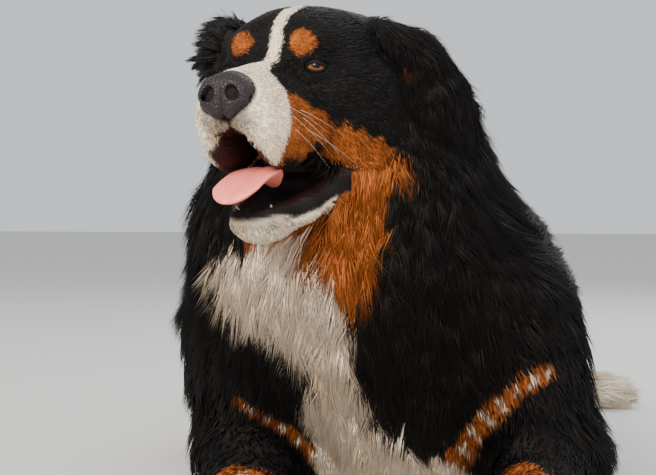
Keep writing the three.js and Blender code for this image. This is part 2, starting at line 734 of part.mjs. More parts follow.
castPiece('head', skinTone.black, {
  field: share(inHead((h) => upperHead(h) - 26 * clamp(h[1] / 70, 0, 1)), 12),
  path: headPoints([[0, 34, -6], [0, -20, 0], [0, -70, -14], [0, -136, -32]]),
  round: 24,
  along: 22,
  keep: [napePlane],
  coatRows: [1, -1].map((side) => ({
    along: [0.36],
    rows: 1,
    arc: side > 0 ? [0.98, 0.8] : [0.52, 0.7],
    count: 3,
    length: 64,
    width: 38,
    rise: 8,
    thick: 9,
    lie: () => headTurned([side * 0.25, 0.75, -0.65]),
  })),
  finish: (solid, grow) => {
    const lidded = [1, -1].reduce(
      (rest, side) => rest.add(lidBulge(side)).subtract(lidOpening(side)),
      solid,
    );
    const open = lidded.subtract(mouthRoom(-grow));
    const flews = [1, -1].map((side) => {
      const centre = [flew.centre[0] * side, flew.centre[1], flew.centre[2]];
      return ballSolid(centre, flew.radii.map((r) => r + grow), fromHead, 14, 10);
    });
    const teeth = toothPair(upperTeeth, fromHead, grow);
    return [...flews, ...teeth].reduce((a, b) => a.add(b), open);
  },
});

const trunkSpan = [[0, -230, 150], [0, -70, 165], [-26, 160, 150], [-50, 390, 140]];
const coreOf = (field, sink) => (p) => field(p) + sink;

const torso = (p) =>
  blend(blend(trunk(p) + coat.trunk, neck(p) + coat.neck, 60), upperHead(toHead(p)), 24);
const torsoField = share(torso, reachOf.first);

const trunkLocks = { length: 116, width: 66, rise: 12, lie: alongBack };
const trunkPieces = {
  chest: {
    keep: [flipped(ribPlane), flipped(shoulderPlane)],
    coatRows: [
      { ...trunkLocks, along: [0.37, 0.49], rows: 3, arc: [-0.06, 0.56], count: 6 },
      { ...trunkLocks, along: [0.03, 0.11], rows: 2, arc: [-0.1, 0.6], count: 6, length: 96,
        lie: downChest },
    ],
  },
  loin: {
    keep: [ribPlane, flipped(hipPlane)],
    coatRows: [{ ...trunkLocks, along: [0.55, 0.62], rows: 2, arc: [-0.06, 0.56], count: 6 }],
  },
  rump: {
    keep: [hipPlane],
    coatRows: [{ ...trunkLocks, along: [0.7, 0.84], rows: 3, arc: [0, 0.5], count: 4 }],
  },
};

Object.entries(trunkPieces).forEach(([name, cuts]) => {
  castPiece(name, skinTone.black, {
    field: torsoField,
    path: trunkSpan,
    round: 22,
    along: 22,
    ...cuts,
  });
});

const neckLocks = { length: 106, width: 62, rise: 14, lie: downNeck };

castPiece('neck', skinTone.black, {
  field: torsoField,
  path: [[-8, -165, 225], [-26, -205, 310], [-44, -222, 385]],
  round: 22,
  along: 16,
  up: [0, -1, 0],
  keep: [flipped(napePlane), shoulderPlane],
  coatRows: [
    { ...neckLocks, along: [0.31], rows: 1, arc: [0.08, 0.42], count: 4 },
    { ...neckLocks, along: [0.46, 0.64], rows: 2, arc: [0, 1], count: 10 },
    { ...neckLocks, along: [0.84], rows: 1, arc: [0.5, 1], count: 6 },
  ],
  finish: (solid, grow) => (grow ? solid : solid.subtract(mouthRoom(0))),
});

// The cup of each ear opens under the front of the fold.
const earCup = { from: 'fold', offset: [-8, -24, -22], radii: [11, 12, 17] };

sides.forEach((side) => {
  const sign = side === 'left' ? 1 : -1;
  const { root, fold, middle, tip } = ears[side];
  const path = [root, fold, middle, tip].map((q) => [q[0] * sign, q[1], q[2]]);
  const cup = fold.map((x, i) => (x + earCup.offset[i]) * (i === 0 ? sign : 1));
  castPiece(`ear_${side}`, skinTone.black, {
    field: inHead((h) => ear(h, side)),
    path: headPoints(path),
    round: 12,
    along: 12,
    up: [0, 1, 0],
    coatRows: [
      { along: [0.4], rows: 1, arc: side === 'left' ? [-0.16, 0.2] : [0.66, 0.3], count: 2,
        length: 54, width: 30, rise: 7, thick: 8, form: inHead((h) => ear(h, side)),
        lie: () => headTurned([0, 0.3, -0.95]) },
    ],
    finish: (solid, grow) =>
      grow ? solid : solid.subtract(ballSolid(cup, earCup.radii, fromHead, 8, 6)),
  });
});

// The plane that halves the angle between two lengths of a limb.
const bendPlane = (before, joint, after) => ({
  point: joint,
  normal: unit(shifted(unit(shifted(joint, before, -1)), unit(shifted(after, joint, -1)))),
});

const limbLocks = { rise: 10, width: 44, length: 84, thick: 10 };

sides.forEach((side) => {
  const sign = side === 'left' ? 1 : -1;
  const fore = mirrorBack(side, 0, foreJoints[side]);
  const hind = mirrorBack(side, rumpShift, hindJoints[side]);
  const hip = mirrorBack(side, rumpShift, [[118, 330, 120]])[0];
  const heading = side === 'left' ? 'Left' : 'Right';
  const outside = (from, to) => (side === 'left' ? [from, to] : [0.5 - from, 0.5 - to]);
  const ahead = (joint, key, length) => {
    const turn = radians(pawHeading[key + heading]) * sign;
    return [joint[0] + Math.sin(turn) * length, joint[1] - Math.cos(turn) * length, 24];
  };
  const foreToe = ahead(fore[3], 'fore', 62);
  const hindToe = ahead(hind[4], 'hind', 62);
  const elbow = bendPlane(fore[0], fore[1], fore[2]);
  const wrist = bendPlane(fore[2], fore[3], foreToe);
  const knee = bendPlane(hip, hind[1], hind[2]);
  const ankle = bendPlane(hind[3], hind[4], hindToe);

  castPiece(`upper_arm_${side}`, skinTone.black, {
    field: share(coreOf((p) => upperArm(p, side), coat.arm), reachOf.second),
    path: [fore[0], fore[1]],
    round: 14,
    along: 10,
    up: [0, -1, 0],
    keep: [flipped(elbow)],
    coatRows: [
      { ...limbLocks, along: [0.25, 0.55], rows: 2, arc: outside(0.27, 0.73), count: 3,
        lie: towards(sign * 0.1, 0.5, -0.8) },
    ],
  });
  castPiece(`forearm_${side}`, skinTone.tan, {
    field: share(coreOf((p) => forearm(p, side), coat.forearm), reachOf.third),
    path: [fore[1], fore[2], fore[3]],
    round: 14,
    along: 12,
    keep: [elbow, flipped(wrist)],
    coatRows: [
      { ...limbLocks, along: [0.3, 0.56], rows: 2, arc: outside(0.52, 0.5), count: 1, rise: 7,
        lie: towards(sign * 0.45, 0.85, -0.3) },
    ],
  });
  castPiece(`fore_paw_${side}`, skinTone.white, {
    field: (p) => forePaw(p, side),
    path: [shifted(fore[3], shifted(foreToe, fore[3], -1), 0.1), foreToe],
    round: 14,
    along: 8,
    keep: [wrist],
    finish: (solid) =>
      joined([
        solid,
        ...clawSet(side, 0, foreJoints[side][3], pawHeading['fore' + heading]),
      ]),
  });
  castPiece(`thigh_${side}`, skinTone.black, {
    field: share(coreOf((p) => thigh(p, side), coat.thigh), reachOf.second),
    path: [hip, hind[0], shifted(hind[1], [0, 10, 10])],
    round: 16,
    along: 12,
    keep: [flipped(knee)],
    coatRows: [
      { ...limbLocks, along: [0.2, 0.5], rows: 2, arc: outside(0.3, 0.68), count: 4,
        lie: towards(sign * 0.1, 0.8, -0.55) },
    ],
  });
  castPiece(`shank_${side}`, skinTone.tan, {
    field: share(coreOf((p) => shank(p, side), coat.shank), reachOf.third),
    path: [hind[1], hind[2]],
    round: 12,
    along: 10,
    keep: [knee],
  });
  castPiece(`hind_foot_${side}`, skinTone.tan, {
    field: share(coreOf((p) => metatarsus(p, side), coat.shank), reachOf.second),
    path: [hind[3], hind[4]],
    round: 12,
    along: 8,
    keep: [flipped(ankle)],
  });
  castPiece(`hind_paw_${side}`, skinTone.white, {
    field: (p) => hindPaw(p, side),
    path: [shifted(hind[4], shifted(hindToe, hind[4], -1), 0.1), hindToe],
    round: 14,
    along: 8,
    keep: [ankle],
    finish: (solid) =>
      joined([
        solid,
        ...clawSet(side, rumpShift, hindJoints[side][4], pawHeading['hind' + heading]),
      ]),
  });
});

const tailBend = bendPlane(tailPath[0], tailPath[1], tailPath[2]);

castPiece('tail_root', skinTone.black, {
  field: share(coreOf(tailRoot, coat.tail), reachOf.second),
  path: [tailPath[0], tailPath[1]],
  round: 12,
  along: 8,
  keep: [flipped(tailBend)],
  coatRows: [
    { along: [0.62], rows: 1, arc: [-0.1, 0.6], count: 3, length: 95, width: 44, rise: 14,
      lie: alongTail },
  ],
});

castPiece('tail_plume', skinTone.black, {
  field: share(coreOf(tailPlume, coat.tail), reachOf.third),
  path: tailPath.slice(1),
  round: 12,
  along: 12,
  keep: [tailBend],
  coatRows: [
    { along: [0.27, 0.72], rows: 3, arc: [-0.08, 0.58], count: 3, length: 112, width: 38,
      rise: 15, lie: alongTail },
  ],
});

// Each core is cut by the fatter cores before it. Its locks are cut by all other cores and by
// the fatter locks before them, then joined to it, and the floor cuts everything.

const dog = new THREE.Group();
const fatCores = pieces.map((piece) => piece.make(gap));
const fatLocks = [];

pieces.forEach((piece, i) => {
  let solid = cutAll(piece.make(0), fatCores.slice(0, i));
  if (piece.locks.length) {
    const locks = joined(piece.locks.map((lock) => lockSolid(lock, 0)));
    const others = fatCores.filter((core, j) => j !== i);
    const fat = joined(piece.locks.map((lock) => lockSolid(lock, gap)));
    solid = solid.add(cutAll(locks, [...others, ...fatLocks]));
    fatLocks.push(fat.add(locks));
  }
  const { vertProperties, triVerts } = largest(solid.trimByPlane([0, 0, 1], 0)).getMesh();
  const geometry = new THREE.BufferGeometry();
  geometry.setAttribute('position', new THREE.BufferAttribute(vertProperties, 3));
  geometry.setIndex(new THREE.BufferAttribute(triVerts, 1));
  geometry.computeVertexNormals();
  const mesh = new THREE.Mesh(geometry, new THREE.MeshStandardMaterial(piece.tone));
  mesh.name = piece.name;
  dog.add(mesh);
});

export default dog;
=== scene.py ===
import math

import bpy
import numpy as np
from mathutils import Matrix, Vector


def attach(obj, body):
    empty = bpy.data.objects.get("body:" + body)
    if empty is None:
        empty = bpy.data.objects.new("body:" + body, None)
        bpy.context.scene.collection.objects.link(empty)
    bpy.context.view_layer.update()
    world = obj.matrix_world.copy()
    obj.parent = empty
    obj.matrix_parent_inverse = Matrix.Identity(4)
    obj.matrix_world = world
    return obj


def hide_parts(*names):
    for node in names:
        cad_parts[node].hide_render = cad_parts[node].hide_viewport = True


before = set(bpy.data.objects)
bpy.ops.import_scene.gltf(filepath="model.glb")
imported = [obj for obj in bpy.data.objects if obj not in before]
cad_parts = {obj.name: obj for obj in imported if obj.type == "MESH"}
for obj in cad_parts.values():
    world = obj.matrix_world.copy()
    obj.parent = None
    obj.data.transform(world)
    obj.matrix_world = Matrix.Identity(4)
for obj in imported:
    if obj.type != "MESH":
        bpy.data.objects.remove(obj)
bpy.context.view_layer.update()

# A Bernese mountain dog lying with its head up. Sizes here are in millimetres in the frame of
# the solids, and go to metres when a mesh is made.
rng = np.random.default_rng(5)
metre = 0.001


# straight mix from a to b by the share t
def mix(a, b, t):
    return a + (b - a) * t


# s-curve from 0 to 1: three t squared less two t cubed, flat at both ends
def smooth(t):
    t = np.clip(t, 0, 1)
    return t * t * (3 - 2 * t)


# the same s-curve between the values low and high
def ramp(x, low, high):
    return smooth((x - low) / (high - low))


# vectors divided by their lengths
def unit(v):
    return v / np.maximum(np.linalg.norm(v, axis=-1, keepdims=True), 1e-9)


# products of two lists of vectors, row by row
def dots(a, b):
    return np.sum(a * b, axis=-1)


# points with x made positive, for what both sides share
def mirrored(p):
    return np.column_stack([np.abs(p[:, 0]), p[:, 1], p[:, 2]])


# ellipsoid: how far the point lies outside it, to first order, turned about Z by some degrees
def ball(p, centre, radii, turn=0):
    c, s = math.cos(math.radians(turn)), math.sin(math.radians(turn))
    dx, dy = p[:, 0] - centre[0], p[:, 1] - centre[1]
    x = (dx * c + dy * s) / radii[0]
    y = (dy * c - dx * s) / radii[1]
    z = (p[:, 2] - centre[2]) / radii[2]
    near = np.sqrt(x * x + y * y + z * z)
    far = np.sqrt((x / radii[0]) ** 2 + (y / radii[1]) ** 2 + (z / radii[2]) ** 2)
    return near * (near - 1) / np.maximum(far, 1e-9)


# tapered bar: distance to the nearest place on the line from a to b, less the radius there
def limb(p, a, b, ra, rb, squash=(1, 1, 1)):
    squash = np.array(squash, float)
    q = (p - np.array(a, float)) * squash
    d = (np.array(b, float) - np.array(a, float)) * squash
    t = np.clip(q @ d / (d @ d), 0, 1)
    return np.linalg.norm(q - t[:, None] * d, axis=1) - mix(ra, rb, t)


# union of two fields, with a fillet of about the size k where they meet
def blend(a, b, k):
    h = np.maximum(k - np.abs(a - b), 0) / k
    return np.minimum(a, b) - h * h * k * 0.25


# one field cut out of another with a fillet: the union of both turned inside out
def carve(a, b, k):
    return -blend(-a, b, k)


# where the head stands and how it is turned, and how far the mouth is open, in degrees
headPlace = {"centre": (-52, -294, 421), "yaw": -15, "pitch": 4, "roll": 2}
jaw = {"hinge": (-8, -40), "open": 25}


# turn matrix about an axis: cosine on the other two axes, sine across them
def turnAbout(axis, degrees):
    c, s = math.cos(math.radians(degrees)), math.sin(math.radians(degrees))
    m = np.eye(3)
    i, j = [(1, 2), (2, 0), (0, 1)][axis]
    m[i, i] = m[j, j] = c
    m[i, j], m[j, i] = -s, s
    return m


headTurn = (turnAbout(2, headPlace["yaw"]) @ turnAbout(0, -headPlace["pitch"])
            @ turnAbout(1, -headPlace["roll"]))
headCentre = np.array(headPlace["centre"], float)


# from the dog's frame to the head's
def toHead(p):
    return (p - headCentre) @ headTurn


# from the head's frame to the dog's
def fromHead(h):
    return np.asarray(h, float) @ headTurn.T + headCentre


# a direction of the head's frame in the dog's
def headWay(v):
    return np.asarray(v, float) @ headTurn.T


# turn in y and z about the hinge of the jaw
def swingJaw(h, degrees):
    c, s = math.cos(math.radians(degrees)), math.sin(math.radians(degrees))
    y, z = h[:, 1] - jaw["hinge"][0], h[:, 2] - jaw["hinge"][1]
    return np.column_stack([h[:, 0], jaw["hinge"][0] + y * c + z * s,
                            jaw["hinge"][1] - y * s + z * c])


# from the head's frame to that of the closed jaw
def toJaw(h):
    return swingJaw(h, jaw["open"])


# from the closed jaw's frame back to the head's
def fromJaw(j):
    return swingJaw(np.atleast_2d(np.asarray(j, float)), -jaw["open"])


# head above the mouth: ellipsoids and tapered bars, joined with fillets
def upperHead(h):
    m = mirrored(h)
    d = ball(h, (0, 8, 10), (74, 86, 61))  # brain case
    d = blend(d, ball(m, (38, 20, 36), (38, 56, 33)), 24)  # crown at the root of the ear
    d = blend(d, ball(h, (0, -20, 38), (50, 54, 34)), 30)  # forehead
    d = blend(d, ball(m, (31, -51, 31), (24, 27, 20)), 20)  # brow
    d = blend(d, ball(m, (54, -4, -22), (36, 56, 46)), 30)  # cheek muscle
    d = blend(d, limb(m, (51, -58, -10), (76, -5, -6), 15, 20), 20)  # cheek bone
    d = blend(d, ball(m, (50, 24, -58), (42, 56, 48)), 30)  # jowl
    d = blend(d, limb(h, (0, -74, -6), (0, -150, -20), 25, 16), 22)  # bridge of the nose
    d = blend(d, limb(m, (17, -72, -34), (13, -138, -36), 32, 24), 20)  # muzzle
    return blend(d, limb(m, (32, -60, -58), (22, -136, -50), 17, 17), 14)  # upper lip


# the mouth: where its corner, front and roof are, and how far it drops
mouth = {"corner": -26, "front": -128, "roof": -66, "cornerDepth": 17, "drop": 41}


# the gap between the lips: below its roof, above its floor, ahead of the corner of the mouth
def lipGap(h):
    t = (mouth["corner"] - h[:, 1]) / (mouth["corner"] - mouth["front"])
    back = np.clip(1 - t / 0.5, 0, 1.2)
    roof = mouth["roof"] - mouth["cornerDepth"] * back * back
    opened = np.clip(t, -0.2, 1)
    floor = mouth["roof"] - mouth["cornerDepth"] - mouth["drop"] * (1 - (1 - opened) ** 2)
    front = 60 * np.clip(t - 1, 0, 1)
    sides = np.maximum(h[:, 1] - mouth["corner"], np.abs(h[:, 0]) - 78)
    return np.maximum(np.maximum(h[:, 2] - roof, floor - front - h[:, 2]), sides)


# the upper lips that hang down on both sides of the muzzle
def flews(h):
    return ball(mirrored(h), (26, -103, -61), (17, 46, 29))


# how far a place is on the furred outer side of the hanging lips, 0 to 1
def outerLip(h):
    across = (np.abs(h[:, 0]) - 26) / 17
    low = (h[:, 2] + 61) / 29
    ahead = ramp(-(h[:, 1] + 103) / 46, 0.75, 0.95)
    side = ramp(across, -0.1, 0.3)
    return np.maximum(side, ahead) * ramp(low, -0.98, -0.86) * (flews(h) < 5)


# hollow of the mouth: lip gap or palate, whichever is wider, less the hanging lips
def mouthRoom(h):
    palate = limb(h, (0, -50, -70), (0, -136, -68), 24, 16, (0.85, 1, 1.3))
    return carve(np.minimum(lipGap(h), palate), flews(h), 4)


# the hollow between the two sides of the lower jaw, where the tongue lies
def jawTrough(h):
    return limb(toJaw(h), (0, -50, -68), (0, -128, -70), 24, 13, (0.8, 1, 1.1))


# lower jaw: a tapered bar along each side, lip, chin and throat, less the trough
def lowerJaw(h):
    j = toJaw(h)
    m = mirrored(j)
    d = limb(m, (42, -34, -84), (31, -92, -88), 15, 12)
    d = blend(d, limb(m, (31, -92, -88), (14, -134, -82), 12, 10), 12)
    d = blend(d, ball(j, (0, -136, -85), (20, 13, 13)), 12)
    d = blend(d, ball(j, (0, -122, -92), (23, 22, 16)), 14)  # chin
    d = blend(d, limb(j, (0, -36, -104), (0, -114, -98), 25, 15, (0.8, 1, 1.3)), 18)
    return carve(d, jawTrough(h), 4)


# body of the nose: an ellipsoid, with one at the wing of each nostril
def noseBody(h):
    d = ball(h, (0, -153, -25), (24, 17, 20))
    return blend(d, ball(mirrored(h), (14, -158, -27), (12, 12, 14)), 8)


# bare skin of the nose: its body and a bar down the cleft of the lip
def nosePad(h):
    return blend(noseBody(h), limb(h, (0, -163, -40), (0, -158, -54), 6, 4), 6)


ears = {
    "left": {"root": (70, 18, 46), "fold": (96, 42, 20), "middle": (112, 66, -22),
             "tip": (116, 76, -76), "turn": -20},
    "right": {"root": (66, 6, 47), "fold": (88, 4, 35), "middle": (92, 30, -20),
              "tip": (96, 42, -76), "turn": -8},
}
earRadii = {"root": 21, "fold": 27, "middle": 42, "tip": 16}
bladeFlatness = 2.3


# ear: a round bar from root to fold, then two bars flattened from side to side
def ear(h, side):
    e = ears[side]
    q = h * np.array([1 if side == "left" else -1, 1, 1])
    turn = turnAbout(2, e["turn"])
    r = q @ turn
    fold, middle, tip = [np.array(e[k], float) @ turn for k in ("fold", "middle", "tip")]
    flat = (bladeFlatness, 1, 1)
    d = limb(q, e["root"], e["fold"], earRadii["root"], earRadii["fold"])
    d = blend(d, limb(r, fold, middle, earRadii["fold"] * 1.4, earRadii["middle"], flat), 14)
    return blend(d, limb(r, middle, tip, earRadii["middle"], earRadii["tip"], flat), 14)


rumpShift = -50  # how far the hindquarters lie to the dog's right


# trunk: ellipsoids joined with fillets, moved sideways by an s-curve along y
def trunk(p):
    q = p.copy()
    q[:, 0] -= rumpShift * smooth((p[:, 1] + 50) / 450)
    d = ball(q, (0, -70, 174), (172, 235, 190))  # rib cage
    d = blend(d, ball(q, (0, -205, 150), (138, 128, 160)), 60)  # breast
    d = blend(d, ball(q, (0, 150, 152), (154, 230, 174)), 90)  # belly and loin
    d = blend(d, ball(q, (0, 340, 146), (140, 165, 158)), 80)  # rump
    return blend(d, ball(mirrored(q), (128, -175, 176), (74, 100, 112)), 50)  # shoulder blade


# neck: tapered bars from the shoulders to the head, and ellipsoids for the ruff
def neck(p):
    d = limb(p, (-4, -150, 235), (-28, -212, 340), 150, 134)
    d = blend(d, limb(p, (-28, -212, 340), (-44, -232, 398), 134, 108), 40)
    d = blend(d, ball(p, (-126, -226, 296), (62, 70, 58)), 40)  # ruff under the right ear
    return blend(d, ball(p, (-24, -258, 235), (114, 95, 125)), 60)  # throat and ruff


# joints of the legs from the shoulder or hip down, each side in its own frame; the hind legs
# are alike
foreJoints = {
    "left": [(128, -215, 165), (174, -160, 44), (166, -395, 29), (166, -452, 28)],
    "right": [(118, -215, 165), (146, -160, 44), (88, -395, 29), (82, -452, 28)],
}
foreRadii = (82, 58, 36, 35)
hindJoints = [(150, 210, 112), (182, 165, 74), (190, 380, 26), (205, 290, 26), (213, 236, 26)]
hindRadii = (64, 54, 36, 33, 33)
pawHeading = {"foreleft": 2, "foreright": -3, "hindleft": 10, "hindright": 10}
toes = {"count": 4, "spread": 19, "radius": 14}
tailPath = [(-50, 440, 135), (-58, 560, 38), (40, 690, 34), (190, 702, 22)]
tailRadii = (62, 56, 50, 30)


# frame of one side: x runs outwards from a centre line
def sideFrame(p, side, centre=0):
    sign = 1 if side == "left" else -1
    return np.column_stack([(p[:, 0] - centre) * sign, p[:, 1], p[:, 2]])


# from the frame of one side back to the dog's
def backFrom(q, side, centre=0):
    q = np.atleast_2d(np.asarray(q, float))
    sign = 1 if side == "left" else -1
    return np.column_stack([q[:, 0] * sign + centre, q[:, 1], q[:, 2]])


# toe ends in a paw's frame: evenly apart in x, and further back away from the middle
def toeEnds():
    across = (np.arange(toes["count"]) - (toes["count"] - 1) / 2) * toes["spread"]
    return np.column_stack([across, -66 + np.abs(across) * 0.42, np.full(len(across), 12.0)])


# paw: an ellipsoid with a bar to each toe end
def pawField(f):
    d = ball(f, (0, -26, 26), (40, 52, 34))
    for end in toeEnds():
        start = (end[0] * 0.8, end[1] + 26, 28)
        d = blend(d, limb(f, start, end, 14, toes["radius"]), 7)
    return d


# a paw's frame: from the wrist, ahead along its heading
def intoPaw(q, wrist, heading):
    d = q - np.array([wrist[0], wrist[1], 0.0])
    return d @ turnAbout(2, heading)


# from a paw's frame back to the side's
def outOfPaw(f, wrist, heading):
    return np.asarray(f, float) @ turnAbout(2, heading).T + np.array([wrist[0], wrist[1], 0.0])


# thigh: a turned ellipsoid joined to the bar from hip to stifle
def thigh(q):
    return blend(ball(q, (128, 296, 142), (76, 156, 134), -12),
                 limb(q, *hindJoints[:2], hindRadii[0], hindRadii[1]), 50)


# shank: a tapered bar from stifle to hock, and one along the foot
def shank(q):
    stifle, hock, foot = hindJoints[1:4]
    d = limb(q, stifle, hock, hindRadii[1], hindRadii[2])
    return blend(d, limb(q, hock, foot, hindRadii[2] - 2, hindRadii[3]), 20)


# forearm: a tapered bar from elbow to wrist, and one on to the paw
def forearm(q, j):
    d = limb(q, j[1], j[2], foreRadii[1] - 4, foreRadii[2])
    return blend(d, limb(q, j[2], j[3], foreRadii[2], foreRadii[3]), 20)


# the depth of the skin under the outline of the coat on each part
sink = {"trunk": 13, "neck": 14, "arm": 11, "forearm": 5, "thigh": 12, "shank": 6, "tail": 16,
        "paw": 3, "ear": 3, "muzzle": 1, "crown": 5}


# the parts of the body in the order of their fillets: name, side, field, depth, fillet
def bodyParts():
    parts = [("trunk", 0, trunk, sink["trunk"], 60), ("neck", 0, neck, sink["neck"], 60)]
    for side, sign in (("left", 1), ("right", -1)):
        fore = foreJoints[side]
        for name, centre, depth, fillet, field in (
            ("upperArm", 0, sink["arm"], 40,
             lambda q, j=fore: limb(q, j[0], j[1], foreRadii[0], foreRadii[1])),
            ("forearm", 0, sink["forearm"], 30, lambda q, j=fore: forearm(q, j)),
            ("forePaw", 0, sink["paw"], 14,
             lambda q, j=fore, s=side: pawField(intoPaw(q, j[3], pawHeading["fore" + s]))),
            ("thigh", rumpShift, sink["thigh"], 40, thigh),
            ("shank", rumpShift, sink["shank"], 30, shank),
            ("hindFoot", rumpShift, sink["shank"], 20,
             lambda q: limb(q, *hindJoints[3:], hindRadii[3], hindRadii[4])),
            ("hindPaw", rumpShift, sink["paw"], 14,
             lambda q, s=side: pawField(intoPaw(q, hindJoints[4], pawHeading["hind" + s]))),
        ):
            parts.append((name, sign,
                          lambda p, f=field, s=side, c=centre: f(sideFrame(p, s, c)),
                          depth, fillet))
    parts.append(("tailRoot", 0,
                  lambda p: limb(p, tailPath[0], tailPath[1], tailRadii[0], tailRadii[1]),
                  sink["tail"], 40))
    parts.append(("tailPlume", 0,
                  lambda p: blend(limb(p, tailPath[1], tailPath[2], tailRadii[1], tailRadii[2]),
                                  limb(p, tailPath[2], tailPath[3], tailRadii[2],
                                       tailRadii[3]), 40),
                  sink["tail"], 40))
    return parts


body = bodyParts()
partNames = [name for name, *_ in body] + ["head", "jaw", "ear", "ear"]
partSides = [sign for _, sign, *_ in body] + [0, 0, 1, -1]
eye = {"centre": (43, -66, 7), "radius": 11.5, "bulge": 13.4, "opening": (10.2, 5.2),
       "bare": (10.5, 5.7), "shadow": (20, 14)}
gazeWay = unit(np.array([0.34, -0.94, -0.04]))  # the left eye's, in the head's frame


# a place seen from an eye: across to its outer corner, up, and out along the gaze
def fromEye(h, sign):
    gaze = gazeWay * (sign, 1, 1)
    right = unit(np.cross(gaze, (0, 0, 1.0))) * -sign
    up = unit(np.cross(gaze, right)) * sign
    d = h - np.array(eye["centre"], float) * (sign, 1, 1)
    return d @ right, d @ up, d @ gaze


# the skin bulges over each eyeball and is open in an almond in front of it
def eyeBulge(h):
    m = mirrored(h)
    return np.linalg.norm(m - np.array(eye["centre"], float), axis=1) - eye["bulge"]


# opening of the lids: an almond cut in along the gaze, and the eyeball cut out
def openLids(h, value):
    for sign in (1, -1):
        a, b, c = fromEye(h, sign)
        almond = (np.hypot(a / eye["opening"][0], b / eye["opening"][1]) - 1) * 6
        value = carve(value, np.maximum(almond, 4 - c), 1.5)
        value = carve(value, np.sqrt(a * a + b * b + c * c) - eye["radius"] - 0.3, 1)
    return value


# depth of the skin on the head: an s-curve from the muzzle back to the crown
def headDepth(h):
    return mix(sink["muzzle"], sink["crown"], ramp(h[:, 1], -95, 20))


# every part's own field at the depth of the skin, one row for each part
def partValues(p):
    rows = [field(p) + depth for _, _, field, depth, _ in body]
    h = toHead(p)
    near = np.linalg.norm(h - (0, -10, -20), axis=1) < 260
    head = np.full((4, len(p)), 300.0)
    if near.any():
        n = h[near]
        head[:, near] = [blend(upperHead(n), flews(n), 10) + headDepth(n), lowerJaw(n) + 1,
                         ear(n, "left") + sink["ear"], ear(n, "right") + sink["ear"]]
    return np.array(rows + list(head)), h, near


# The skin: all parts with their fillets, the mouth and the eye sockets carved out, and the
# floor below. With closed true the mouth and the sockets stay filled.
def skinField(p, closed=False):
    rows, h, near = partValues(p)
    value = np.full(len(p), 1e3)
    for row, (_, _, _, _, fillet) in zip(rows, body):
        value = blend(value, row, fillet)
    if near.any():
        n = h[near]
        v = blend(value[near], rows[-4][near], 24)
        for row in rows[-2:]:
            v = blend(v, row[near], 10)
        v = blend(v, eyeBulge(n), 9)
        if closed:
            v = blend(v, rows[-3][near], 14)
        else:
            v = carve(v, mouthRoom(n), 5)
            v = blend(v, rows[-3][near], 7)
            v = openLids(n, v)
        value[near] = v
    return np.maximum(value, -p[:, 2])


corners = np.array([(1, 1, 1), (1, -1, -1), (-1, 1, -1), (-1, -1, 1)], float)


# value and slope of a field, from four places at the corners of a small cube
def slopeOf(field, p, e=1.2):
    at = [field(p + c * e) for c in corners]
    g = sum(v[:, None] * c for v, c in zip(at, corners)) / (4 * e)
    return sum(at) / 4, g


# points moved onto a field's zero, or a height above it, by steps along its slope
def settle(field, p, height=0.0, steps=2):
    for _ in range(steps):
        value, g = slopeOf(field, p)
        steep = np.maximum(dots(g, g), 0.2)
        p = p - g * np.clip((value - height) / steep, -6, 6)[:, None]
    return p


